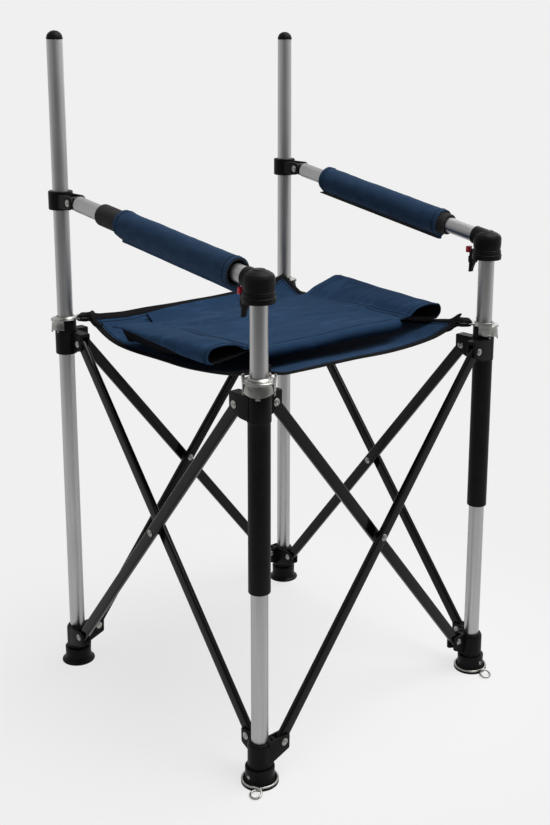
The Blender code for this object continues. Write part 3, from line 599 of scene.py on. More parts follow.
TUBE_UPRIGHT = tube_material("satin_aluminium_upright", (900, 900, 9))
# The arms' copy is painted darker, as shade, where the top lamp lights them more.
TUBE_ARM_PAINTED_DARKER = tube_material("satin_aluminium_arm_painted_darker", (900, 9, 900), 0.82)
PLASTIC = moulded_material("black_moulded_plastic", (0.0035, 0.0035, 0.004), (0.0065, 0.0065, 0.007),
                           0.42, 1500.0)
RED = moulded_material("red_moulded_plastic", (0.36, 0.008, 0.02), (0.42, 0.012, 0.03), 0.32, 1200.0, 0.4)
COATING = coated_material("black_bar_coating")
ZINC = zinc_material("bright_zinc")
FOAM = foam_material("dark_foam")
NAVY = woven_material("navy_woven_cloth", (0.0085, 0.025, 0.057), (0.017, 0.041, 0.086), 1.1 * MM, fold_paleness=0.4)
PAD_CLOTH = woven_material("navy_ribbed_cloth", (0.008, 0.022, 0.050), (0.026, 0.050, 0.092), 1.8 * MM, 1.6)
WEBBING = woven_material("black_webbing", (0.004, 0.004, 0.005), (0.010, 0.010, 0.011), 1.2 * MM, 0.8, 0.0)
THREAD = moulded_material("dark_thread", (0.002, 0.005, 0.012), (0.005, 0.010, 0.022), 0.7, 2500.0, 0.05)
BLACK_THREAD = moulded_material("black_thread", (0.004, 0.004, 0.005), (0.012, 0.012, 0.013),
                                0.7, 2500.0, 0.05)


def place(name, mesh, material, body, *replaced, sharp=40):
    """A finished piece in the row frame, riding a body."""
    piece = bpy.data.objects.new(name, mesh.copy())
    piece.data.name = name
    piece.data.transform(Matrix.Translation(SHIFT))
    piece.data.materials.clear()
    piece.data.materials.append(material)
    piece.data.shade_smooth()
    piece.data.set_sharp_from_angle(angle=math.radians(sharp))
    bpy.context.scene.collection.objects.link(piece)
    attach(piece, body)
    if replaced:
        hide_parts(*replaced)
    return piece


# Repeated fasteners and stitches come from two node trees.
def tree_with(name, sockets):
    tree = bpy.data.node_groups.new(name, "GeometryNodeTree")
    tree.interface.new_socket("Geometry", in_out="INPUT", socket_type="NodeSocketGeometry")
    ids = {}
    for label, kind in sockets:
        ids[label] = tree.interface.new_socket(label, in_out="INPUT", socket_type=kind).identifier
    tree.interface.new_socket("Geometry", in_out="OUTPUT", socket_type="NodeSocketGeometry")
    entry = tree.nodes.new("NodeGroupInput")
    return tree, entry.outputs, ids


def copies_on_points(tree, entry, points, copy, way, axis):
    """Copies on points, turned along a direction, made real and given their finish."""
    aim = add(tree, "FunctionNodeAlignRotationToVector", {"Vector": way}, axis=axis)
    values = {"Points": points, "Instance": copy, "Rotation": aim.outputs["Rotation"]}
    spread = add(tree, "GeometryNodeInstanceOnPoints", values)
    real = add(tree, "GeometryNodeRealizeInstances", {"Geometry": spread.outputs["Instances"]})
    values = {"Geometry": real.outputs["Geometry"], "Material": entry["Finish"]}
    done = add(tree, "GeometryNodeSetMaterial", values)
    add(tree, "NodeGroupOutput", {"Geometry": done.outputs["Geometry"]})


def fastener_tree():
    """A head set on every point, facing the way its facing attribute says."""
    sockets = (("Head", "NodeSocketObject"), ("Finish", "NodeSocketMaterial"))
    tree, entry, ids = tree_with("fasteners", sockets)
    head = add(tree, "GeometryNodeObjectInfo", {"Object": entry["Head"]})
    facing = add(tree, "GeometryNodeInputNamedAttribute", {"Name": "facing"}, data_type="FLOAT_VECTOR")
    way = facing.outputs["Attribute"]
    copies_on_points(tree, entry, entry["Geometry"], head.outputs["Geometry"], way, "Z")
    return tree, ids


def stitch_tree():
    """Short rounded stitches laid along every line."""
    sockets = (("Pitch", "NodeSocketFloat"), ("Length", "NodeSocketFloat"), ("Thread", "NodeSocketFloat"))
    tree, entry, ids = tree_with("stitches", (*sockets, ("Finish", "NodeSocketMaterial")))
    line = add(tree, "GeometryNodeMeshToCurve", {"Mesh": entry["Geometry"]})
    values = {"Curve": line.outputs["Curve"], "Length": entry["Pitch"]}
    spaced = add(tree, "GeometryNodeResampleCurve", values, mode="LENGTH")
    bead = add(tree, "GeometryNodeMeshUVSphere", {"Segments": 8, "Rings": 5, "Radius": 1.0})
    values = {"X": entry["Length"], "Y": entry["Thread"], "Z": entry["Thread"]}
    size = add(tree, "ShaderNodeCombineXYZ", values).outputs["Vector"]
    stitch = add(tree, "GeometryNodeTransform", {"Geometry": bead.outputs["Mesh"], "Scale": size})
    tangent = add(tree, "GeometryNodeInputTangent").outputs["Tangent"]
    copies_on_points(tree, entry, spaced.outputs["Curve"], stitch.outputs["Geometry"], tangent, "X")
    return tree, ids


FASTENERS, FASTENER_IDS = fastener_tree()
STITCHES, STITCH_IDS = stitch_tree()


def from_tree(mesh, tree, values):
    """The plain mesh a node tree makes from a mesh."""
    bench = bpy.data.objects.new("bench", mesh)
    BENCH.objects.link(bench)
    modifier = bench.modifiers.new("tree", "NODES")
    modifier.node_group = tree
    for key, value in values.items():
        modifier[key] = value
    made = plain_mesh(bench)
    bench.modifiers.clear()
    bpy.data.objects.remove(bench, do_unlink=True)
    return made


def fasteners(name, spots, head, body):
    """Zinc heads at (point, facing) spots."""
    mesh = bpy.data.meshes.new("spots")
    mesh.from_pydata([tuple(point) for point, _ in spots], [], [])
    facing = mesh.attributes.new("facing", "FLOAT_VECTOR", "POINT")
    for item, (_, way) in zip(facing.data, spots):
        item.vector = way
    values = {FASTENER_IDS["Head"]: head, FASTENER_IDS["Finish"]: ZINC}
    return place(name, from_tree(mesh, FASTENERS, values), ZINC, body)


def stitches(name, lines, finish, body, pitch=STITCH_PITCH):
    """Rows of stitches along lines of points."""
    mesh = bpy.data.meshes.new("lines")
    points, edges = [], []
    for line in lines:
        first = len(points)
        points += [tuple(p) for p in line]
        edges += [(first + i, first + i + 1) for i in range(len(line) - 1)]
    mesh.from_pydata(points, edges, [])
    values = {"Pitch": pitch, "Length": STITCH_HALF, "Thread": THREAD_R, "Finish": finish}
    made = from_tree(mesh, STITCHES, {STITCH_IDS[key]: value for key, value in values.items()})
    return place(name, made, finish, body)


def rivet_head():
    """A domed rivet head with a rolled rim and a dimple."""
    profile = ((0, 1.25), (0.9, 1.3), (1.5, 2.1), (2.9, 1.9), (4.0, 1.2), (5.1, 0.6), (4.8, 0), (0, 0))
    return turned(in_mm(profile), segments=24, soft=0.5 * MM)


def screw_head():
    """A small pan head with a cross recess."""
    profile = ((0, 1.5), (1.9, 1.4), (2.8, 0.7), (2.8, -0.6), (0, -0.6))
    base = turned(in_mm(profile), segments=24, soft=0.6 * MM)
    for across, along in in_mm(((1.7, 0.35), (0.35, 1.7))):
        half = Vector((across, along, 0.8 * MM))
        tool = bpy.data.objects.new("tool", block(-half, half, 0.05 * MM))
        tool.data.transform(Matrix.Translation((0, 0, 1.7 * MM)))
        BENCH.objects.link(tool)
        base = evaluated(base, [("BOOLEAN", {"object": tool, "operation": "DIFFERENCE"})])
        bpy.data.objects.remove(tool, do_unlink=True)
    return base


def head_object(name, mesh):
    made = bpy.data.objects.new(name, mesh)
    BENCH.objects.link(made)
    return made


RIVET = head_object("rivet_head", rivet_head())
SCREW = head_object("screw_head", screw_head())


# Legs, feet and hubs.
def legs():
    bore = TUBE_R - TUBE_WALL
    base = POLE_TOP + 2 * MM
    profile = [(TUBE_R * x, base + (CAP_TOP - base) * y) for x, y in arc((0, 0), 1.0, 90, 8, 12)]
    profile[0] = (0, CAP_TOP)
    profile += [(TUBE_R + 0.35 * MM, POLE_TOP + 1.4 * MM), (TUBE_R + 0.35 * MM, POLE_TOP + GAP)]
    profile += [(bore - GAP, POLE_TOP + GAP), (bore - GAP, POLE_TOP - 14 * MM), (0, POLE_TOP - 14 * MM)]
    cap = turned(profile)
    pole = tube(TUBE_R, bore, TUBE_FOOT, POLE_TOP)
    front = tube(TUBE_R, bore, TUBE_FOOT, FRONT_TUBE_TOP)
    post = tube(TUBE_R, bore, POST_BOTTOM, COLLAR_TOP - 0.5 * MM)
    for side, index in REAR:
        body = f"rear_{side}_leg"
        place(f"pole_{side}", moved(pole, leg_at(index)), TUBE_UPRIGHT, body, f"rear_pole_{side}")
        place(f"cap_{side}", moved(cap, leg_at(index)), PLASTIC, body, f"pole_cap_{side}")
    for side, index in FRONT:
        at, body = leg_at(index), f"front_{side}_leg"
        place(f"leg_{side}", moved(front, at), TUBE_UPRIGHT, body, f"front_tube_{side}")
        place(f"post_{side}", moved(post, at), TUBE_UPRIGHT, f"front_{side}_hub", f"front_post_{side}")


def ear_pair(cheek, fills, inner, planes):
    """Two clevis ears in a corner's frame: cheeks with webs between. The outer cheek runs on over the leg."""
    parts = []
    near, far = BAR_THICK / 2 + GAP, CLEVIS / 2
    for stand, offset in zip((ALONG_Y, ALONG_X), planes):
        at = stand @ Matrix.Translation((0, 0, offset))
        for way in (1, -1):
            outline = cheek(1.5 * MM if way * offset > 0 else inner)
            low, high = sorted((way * near, way * far))
            parts.append(moved(plate([outline], low, high, 0.7 * MM), at))
        for outline in fills:
            parts.append(moved(plate([outline], -far + 0.4 * MM, far - 0.4 * MM, 0.3 * MM), at))
    return parts


def rectangle(x0, y0, x1, y1):
    return [(x0, y0), (x1, y0), (x1, y1), (x0, y1)]


def feet():
    floor = FOOT_TOP - 7.5 * MM
    foot = turned([
        (0, floor), (13.3 * MM, floor), (13.3 * MM, FOOT_TOP), (FOOT_R + 0.9 * MM, FOOT_TOP),
        (FOOT_R + 0.6 * MM, 13 * MM), (FOOT_R + 0.9 * MM, 8 * MM), (20.6 * MM, 4.4 * MM),
        (FLANGE_R - 0.8 * MM, FLANGE), (FLANGE_R, FLANGE - 0.8 * MM),
        (FLANGE_R, 0.6 * MM), (FLANGE_R - MM, 0), (0, 0),
    ], soft=0.8 * MM)
    shell = turned([
        (BORE_R, BRACKET_LOW + 2.9 * MM), (BORE_R, BRACKET_TOP), (BRACKET_R - 2.2 * MM, BRACKET_TOP),
        (BRACKET_R, BRACKET_TOP - 4 * MM), (BRACKET_R, BRACKET_LOW), (13 * MM, BRACKET_LOW),
        (13 * MM, floor + GAP), (11 * MM, floor + GAP),
    ], ring=True, soft=1.6 * MM)
    inner = 12.5 * MM

    def cheek(start):
        outline = [(start, BRACKET_LOW + 4 * MM), (EAR_LENGTH - 0.6 * MM, FOOT_PIVOT_Z - 12 * MM),
                   (EAR_LENGTH, BRACKET_EAR_TOP), (start, BRACKET_EAR_TOP)]
        return softened(outline, 2.4 * MM, True, 5)

    top = BRACKET_EAR_TOP - 0.6 * MM
    fill = [(inner, BRACKET_LOW + 9 * MM), (SLOT_START, BRACKET_LOW + 11.5 * MM), (SLOT_START, top),
            (inner, top)]
    bracket = gathered(shell, *ear_pair(cheek, [fill], inner, (BAR_PLANE, BAR_PLANE)))
    for index, name in enumerate(CORNERS):
        body = f"{name}_leg"
        place(f"foot_cup_{name}", moved(foot, corner(index)), PLASTIC, body, f"foot_{name}")
        place(f"bracket_{name}", moved(bracket, corner(index)), PLASTIC, body, f"foot_bracket_{name}")
        out = quarter(index) @ Vector((-1, 0, 0))
        spot = corner(index).translation + out * (FOOT_R + 0.5 * MM) + Vector((0, 0, SCREW_Z))
        fasteners(f"foot_screw_{name}", [(spot, out)], SCREW, body)


def peg_rings():
    """One bent wire: a hoop whose ends cross and close round an eye that hangs down outwards."""
    over, under, droop = 2.1 * MM, -0.9 * MM, -2.8 * MM

    def eye(start, end, steps, rise):
        made = []
        for k, (x, y) in enumerate(arc((EYE_AT, 0), EYE_R, start, end, steps)):
            share = (x - EYE_AT + EYE_R) / (2 * EYE_R)
            made.append((x, y, rise[0] + (rise[1] - rise[0]) * k / steps + droop * share))
        return made

    path = [(*p, 0) for p in arc((0, 0), HOOP_R, 20, 340, 28)]
    path += [(22.7 * MM, -4.2 * MM, over * 0.5), (25.6 * MM, 0.3 * MM, over)]
    path += eye(146, 20, 5, (over, 0)) + eye(-5, -146, 6, (0, under))
    path += [(25.4 * MM, 0.1 * MM, under), (22.7 * MM, 4.2 * MM, under * 0.5)]
    ring = wire(flowing(path, 4, True), WIRE_R, True)
    for side, index in FRONT:
        turn = Matrix.Rotation(math.radians(EYE_HEADING[side]), 4, "Z")
        mesh = moved(ring, leg_at(index, HOOP_Z) @ turn)
        place(f"wire_ring_{side}", mesh, ZINC, f"{side}_peg_ring", f"peg_ring_{side}")


def hubs():
    plain = tube(HUB_R, BORE_R, HUB_BOTTOM, HUB_TOP, 1.6 * MM)
    sleeved = turned([
        (HUB_R, HUB_TOP), (HUB_R, HUB_BOTTOM), (SLEEVE_R, HUB_BOTTOM - 1.5 * MM),
        (SLEEVE_R, SLEEVE_BOTTOM), (BORE_R, SLEEVE_BOTTOM), (BORE_R, HUB_TOP),
    ], ring=True, soft=1.4 * MM)
    inner = 12 * MM

    def cheek(start):
        outline = [(start, HUB_BOTTOM + 1.5 * MM), (18 * MM, HUB_BOTTOM + 2.5 * MM),
                   (EAR_LENGTH - 0.5 * MM, HUB_PIVOT_Z - 7 * MM), (EAR_LENGTH, HUB_EAR_TOP),
                   (start, HUB_EAR_TOP)]
        return softened(outline, 2.2 * MM, True, 5)

    web = rectangle(inner, HUB_WEB, EAR_LENGTH - 0.6 * MM, HUB_EAR_TOP - 0.3 * MM)
    fill = rectangle(inner, HUB_BOTTOM + 3 * MM, SLOT_START, HUB_EAR_TOP - 0.6 * MM)
    ears = ear_pair(cheek, [web, fill], inner, (-BAR_PLANE, -BAR_PLANE))
    for index, name in enumerate(CORNERS):
        body = sleeved if name.startswith("front") else plain
        mesh = moved(gathered(body, *ears), corner(index))
        place(f"corner_hub_{name}", mesh, PLASTIC, f"{name}_hub", f"hub_{name}")


def hangers():
    """A pressed plate: flared neck, rolled bead, skirt round the outside, upright wings, slotted tongue."""
    under = HANGER_TOP - 1.5 * MM
    neck = ((11.9, 536.6), (13.0, 536.7), (14.6, 534.9), (16.8, 533.8), (19.2, 533.4), (19.2, 532.4),
            (16.6, 532.6), (14.1, 533.6), (12.6, 535.2), (11.9, 535.6))
    neck = turned(in_mm(neck), ring=True, soft=0.4 * MM)
    bead = swept(arc((19.2 * MM, 531.6 * MM), 1.5 * MM, 0, 345, 15), 130, 320, 40)
    drop = HANGER_SKIRT
    skirt = [(19.1 * MM, 530.6 * MM), (18.8 * MM, 528.6 * MM), (19.4 * MM, 526 * MM), (20.2 * MM, drop)]
    skirt += [(r - HANGER_SHEET, z) for r, z in reversed(skirt)]
    rings = []
    for k in range(41):
        a = 128 + 194 * k / 40
        # The lower edge hangs lowest at the outer corner.
        low = 3.2 * MM * (1 - smooth(abs(a - 225), 8, 70))
        ring = [(r, z - low * (z < 522 * MM)) for r, z in softened(skirt, 0.5 * MM, True)]
        rings.append([(r * math.cos(math.radians(a)), r * math.sin(math.radians(a)), z) for r, z in ring])
    tab = [(20.2 * MM, drop - MM), (20.2 * MM, drop - 6.2 * MM), (18.6 * MM, drop - 6.2 * MM),
           (18.6 * MM, drop - MM)]
    tab = pressed(tab, 0.5 * MM, 217, 233, 6)
    hook = [(20.6 * MM, drop + 2 * MM), (20.9 * MM, drop - 3.2 * MM), (19.6 * MM, drop - 3.2 * MM),
            (19.4 * MM, drop + 2 * MM)]
    hooks = [pressed(hook, 0.4 * MM, start, start + 8, 4) for start in (150, 292)]
    half, broad = TONGUE_WIDTH / 2 - 3 * MM, TONGUE_WIDTH / 2 + 2 * MM
    outline = [(14 * MM, -broad), (22 * MM, -broad), (25 * MM, -half), (TONGUE_REACH, -half),
               (TONGUE_REACH, half), (25 * MM, half), (22 * MM, broad), (14 * MM, broad)]
    window = rectangle(17.2 * MM, -10.4 * MM, 22.4 * MM, 10.4 * MM)
    sheet = [softened(outline, 1.4 * MM, True), softened(window, 1.2 * MM, True)]
    tongue = plate(sheet, under, HANGER_TOP, 0.4 * MM)
    wing = [(20.2 * MM, drop + MM), (20.6 * MM, 531 * MM), (21.4 * MM, 538.4 * MM), (20.3 * MM, 538.4 * MM),
            (19.3 * MM, 531 * MM), (18.8 * MM, drop + MM)]
    wings = [pressed(wing, 0.4 * MM, start, end, 14) for start, end in ((108, 162), (288, 342))]
    hanger = gathered(neck, bead, lofted(rings), tab, moved(tongue, INWARD), *hooks)
    for index, name in enumerate(CORNERS):
        # The front hangers' wings stand up beside the posts.
        mesh = moved(gathered(hanger, *wings) if index < 2 else hanger, corner(index))
        place(f"hanger_{name}", mesh, ZINC, f"{name}_hub", f"seat_hanger_{name}")


def bars():
    half_w, half_t = BAR_WIDTH / 2, BAR_THICK / 2

    def section(width):
        w, t = width - BAR_EDGE, half_t - BAR_EDGE
        points = []
        for x, y, start in ((w, t, 0), (-w, t, 90), (-w, -t, 180), (w, -t, 270)):
            points += arc((x, y), BAR_EDGE, start, start + 90, 6)
        return points

    # The ends are rounded in the bar's plane.
    angles = [math.radians(k) for k in (20, 32, 45, 60, 75, 90)]
    ends = [(half_w * math.cos(a), half_w * math.sin(a)) for a in angles]
    stations = [(-along, max(width, BAR_EDGE + 0.2 * MM)) for along, width in ends]
    stations += [(BAR_LENGTH * k / 12, half_w) for k in range(1, 12)]
    stations += [(BAR_LENGTH - along, width) for along, width in reversed(stations[:len(ends)])]
    bar = lofted([[(x, t, w) for w, t in section(width)] for x, width in stations])
    far, near = BAR_PLANE + half_t, BAR_PLANE - half_t - GAP
    spacer = turned([(SPACER_R, near), (SPACER_R, -near), (PIN_R, -near), (PIN_R, near)], True, 32, 0.5 * MM)
    face = CLEVIS / 2
    pins = [(x, way) for x in (0, BAR_LENGTH) for way in (1, -1)]
    c, s = math.cos(BAR_ANGLE), math.sin(BAR_ANGLE)
    foot_y = HALF - PIVOT_OFFSET
    outer = axes((0, -c, s), (1, 0, 0), (0, s, c), (-HALF - BAR_PLANE, foot_y, FOOT_PIVOT_Z))
    inner = axes((0, c, s), (-1, 0, 0), (0, -s, c), (-HALF + BAR_PLANE, -foot_y, FOOT_PIVOT_Z))
    for index, side in enumerate(SIDES):
        for kind, stand in (("outer", outer), ("inner", inner)):
            at = quarter(index) @ stand
            body = f"{side}_{kind}_bar"
            place(f"flat_bar_{side}_{kind}", moved(bar, at), COATING, body, f"bar_{side}_{kind}")
            spots = [(at @ Vector((x, way * face, 0)), at.to_3x3() @ Vector((0, way, 0))) for x, way in pins]
            fasteners(f"end_rivets_{side}_{kind}", spots, RIVET, body)
        crossing = quarter(index) @ Matrix.Translation((-HALF, 0, (FOOT_PIVOT_Z + HUB_PIVOT_Z) / 2))
        mesh = moved(spacer, crossing @ ACROSS)
        place(f"cross_spacer_{side}", mesh, PLASTIC, f"{side}_outer_bar", f"bar_rivet_{side}")
        turn = crossing.to_3x3()
        spots = [(crossing @ Vector((way * far, 0, 0)), turn @ Vector((way, 0, 0))) for way in (1, -1)]
        fasteners(f"cross_rivet_{side}", spots, RIVET, f"{side}_outer_bar")


# Arms.
def arm_frame(side):
    """The arm's frame at its bolt: local -Y runs forward along the arm, local X is the bolt's axis."""
    x = -HALF if side == "right" else HALF
    slope = math.atan2(CLAMP_Z[side] - ARM_FRONT_Z[side], 2 * HALF - ARM_PIVOT)
    c, s = math.cos(slope), math.sin(slope)
    bolt = Vector((x, HALF - ARM_PIVOT, CLAMP_Z[side]))
    return axes((1, 0, 0), (0, c, s), (0, -s, c), bolt), slope


def arm_reach(side, y):
    """Distance from the bolt along the arm to a place in front of it."""
    return (HALF - ARM_PIVOT - y) / math.cos(arm_frame(side)[1])


def clamps():
    half = CLAMP_HEIGHT / 2
    band = tube(CLAMP_R, BORE_R, -half, half, 1.6 * MM)
    outline = [(10 * MM, -EAR_R), *arc((ARM_PIVOT, 0), EAR_R, -90, 90, 24), (10 * MM, EAR_R)]
    spans = ((EAR_INSIDE, EAR_OUTSIDE), (-EAR_OUTSIDE, -EAR_INSIDE))
    cheeks = [moved(plate([outline], a, b, 0.9 * MM), UPRIGHT) for a, b in spans]
    neck = plate([rectangle(9 * MM, -EAR_R + MM, 19 * MM, EAR_R - MM)], -EAR_INSIDE - MM, EAR_INSIDE + MM)
    clamp = gathered(band, *cheeks, moved(neck, UPRIGHT))
    for side, index in REAR:
        mesh = moved(clamp, leg_at(index, CLAMP_Z[side]))
        place(f"clamp_{side}", mesh, PLASTIC, f"rear_{side}_leg", f"arm_clamp_{side}")


def pad_section(radius, flap, half_flap):
    """Round pad with its two edges brought together underneath, as points across and up."""
    round_part = arc((0, 0), radius, -42, 222, 44)
    left = [(-0.34 * radius, -0.99 * radius), (-half_flap, -1.16 * radius), (-half_flap, -flap + 0.6 * MM)]
    bottom = [(-half_flap + 0.5 * MM, -flap), (half_flap - 0.5 * MM, -flap)]
    right = [(half_flap, -flap + 0.6 * MM), (half_flap, -1.16 * radius), (0.34 * radius, -0.99 * radius)]
    return round_part + left + bottom + right


def arms():
    bore = TUBE_R - TUBE_WALL
    start = EAR_R + 1.2 * MM
    half = 8 * MM
    tongue = [(start - GAP, -half), *arc((0, 0), half, 270, 90, 20), (start - GAP, half)]
    tongue = moved(plate([tongue], -half, half, 0.6 * MM), UPRIGHT)
    stem = moved(rod(bore - GAP, EAR_R, start + 20 * MM), FORWARD)
    spots = [((way * EAR_OUTSIDE, 0, 0), (way, 0, 0)) for way in (1, -1)]
    for side, index in FRONT:
        at, _ = arm_frame(side)
        body = f"{side}_arm"
        place(f"plug_{side}", moved(gathered(tongue, stem), at), PLASTIC, body, f"arm_plug_{side}")
        bolts = [(at @ Vector(p), at.to_3x3() @ Vector(way)) for p, way in spots]
        fasteners(f"arm_bolt_{side}", bolts, RIVET, body)
        length = arm_reach(side, -HALF) - ARM_STOP
        mesh = moved(tube(TUBE_R, bore, start, length), at @ FORWARD)
        place(f"arm_rail_{side}", mesh, TUBE_ARM_PAINTED_DARKER, body, f"arm_tube_{side}")
        low, high = (arm_reach(side, y) for y in GRIP_SPAN[side])
        mesh = moved(tube(GRIP_R, BORE_R, low, high, 2.2 * MM), at @ FORWARD)
        grip = place(f"foam_grip_{side}", mesh, FOAM, body, f"arm_grip_{side}")
        arm_pad(side, at, body)
        mesh = moved(elbow(at, index, length), at)
        place(f"elbow_{side}", mesh, PLASTIC, body, f"arm_elbow_{side}")


def arm_pad(side, at, body):
    """A ribbed cloth sleeve with hemmed ends, a black lining and its edges pressed together below."""
    low, high = (arm_reach(side, y) for y in PAD_SPAN[side])
    seed = 3.0 if side == "right" else 8.0
    outer = pad_section(PAD_R, PAD_FLAP, 2.2 * MM)
    steps = 90
    along = at @ FORWARD

    def ring_at(t, proud):
        """The outer skin a share t along the pad."""
        where = low + (high - low) * t
        from_end = min(t, 1 - t) * (high - low)
        hem = 0.5 * MM * (1 - smooth(from_end, 8 * MM, 10.5 * MM))
        points = []
        for x, z in outer:
            away = Vector((x, z))
            r = away.length
            crease = noise.noise(Vector((x * 60 + seed, z * 60, where * 24))) * 0.75 * MM
            crease += noise.noise(Vector((x * 25, z * 25 + seed, where * 75))) * 0.35 * MM
            fade = 1 if z > -PAD_R else 0.3
            scale = (r + (crease + hem) * fade + proud) / r
            points.append(along @ Vector((x * scale, z * scale, where)))
        return points

    def inner_at(where, radius):
        angles = [math.atan2(z, x) for x, z in outer]
        return [along @ Vector((radius * math.cos(a), radius * math.sin(a), where)) for a in angles]

    hole = GRIP_R + GAP
    rings = [inner_at(low + 6 * MM, hole), inner_at(low + 0.6 * MM, hole), inner_at(low, hole + 0.8 * MM)]
    rings += [ring_at(0, -1.0 * MM)]
    rings += [ring_at(k / steps, 0) for k in range(steps + 1)]
    rings += [ring_at(1, -1.0 * MM)]
    rings += [inner_at(high, hole + 0.8 * MM), inner_at(high - 0.6 * MM, hole), inner_at(high - 6 * MM, hole)]
    mesh = lofted(rings, closed=True)
    # The weave runs round the pad and along it.
    layer = mesh.uv_layers.new(name="weave")
    inverse = along.inverted()
    for polygon in mesh.polygons:
        middle = inverse @ polygon.center
        middle_angle = math.atan2(middle.y, middle.x)
        for loop in polygon.loop_indices:
            p = inverse @ mesh.vertices[mesh.loops[loop].vertex_index].co
            angle = math.atan2(p.y, p.x)
            angle += math.tau * round((middle_angle - angle) / math.tau)
            layer.data[loop].uv = (p.z, angle * PAD_R)
    pad = place(f"pad_{side}", mesh, PAD_CLOTH, body, f"arm_pad_{side}", sharp=70)
    rim = hole + 1.2 * MM
    lip = turned([(hole, -3 * MM), (rim, -3 * MM), (rim, 0.8 * MM), (hole, 0.8 * MM)], True, soft=0.3 * MM)
    ends = ((low, Matrix.Rotation(math.pi, 4, "X")), (high, Matrix.Identity(4)))
    lining = [moved(lip, along @ Matrix.Translation((0, 0, where)) @ turn) for where, turn in ends]
    place(f"pad_lining_{side}", gathered(*lining), FOAM, body)
    # Hook tape on the inner face of the pressed edges, with a slanted tail behind the left pad.
    inner = 1 if side == "right" else -1
    tail = 9 * MM if side == "left" else -4 * MM
    tape = []
    stations = ((low - tail, 0.8 * MM), (low + 4 * MM, 6.5 * MM), (high - 4 * MM, 6.5 * MM),
                (high - 2 * MM, 6 * MM))
    for where, top in stations:
        edge = [(1.9 * MM, top), (1.9 * MM, 0), (3.3 * MM, 0), (3.3 * MM, top)]
        tape.append([along @ Vector((x * inner, z - PAD_FLAP - 0.2 * MM, where)) for x, z in edge])
    place(f"pad_tape_{side}", lofted(tape), FOAM, body)
    # The stitches run round the pad and stop short of the pressed edges.
    hems = (6 * MM, (high - low) - 6 * MM)
    rows = [ring_at(inset / (high - low), 0.15 * MM)[:46] for inset in hems]
    stitches(f"pad_hem_stitches_{side}", rows, THREAD, body, 3.6 * MM)


def elbow(at, index, tube_end):
    """The capped elbow over a front post, in the arm's frame."""
    bottom = COLLAR_TOP + ELBOW_SEAT
    profile = [(0, 666.4), (7.4, 666.2), (8.4, 664.9), (9.4, 664.7), (12.4, 663.6), (17.4, 660.4),
               (19.4, 656.6), (19.5, 650), (19.0, 642.4), (18.3, 641.4), (18.4, 640.2), (19.2, 639.6)]
    dome = turned(in_mm(profile) + [(19.2 * MM, bottom), (0, bottom)], soft=0.7 * MM)
    local = at.inverted() @ leg_at(index)
    mouth = tube_end + ARM_STOP - BOSS_REACH
    boss = turned([
        (BORE_R, mouth), (BOSS_R, mouth), (BOSS_R, tube_end + 6 * MM), (BORE_R, tube_end + 6 * MM),
    ], ring=True, soft=1.0 * MM)
    return gathered(moved(dome, local), moved(boss, FORWARD))


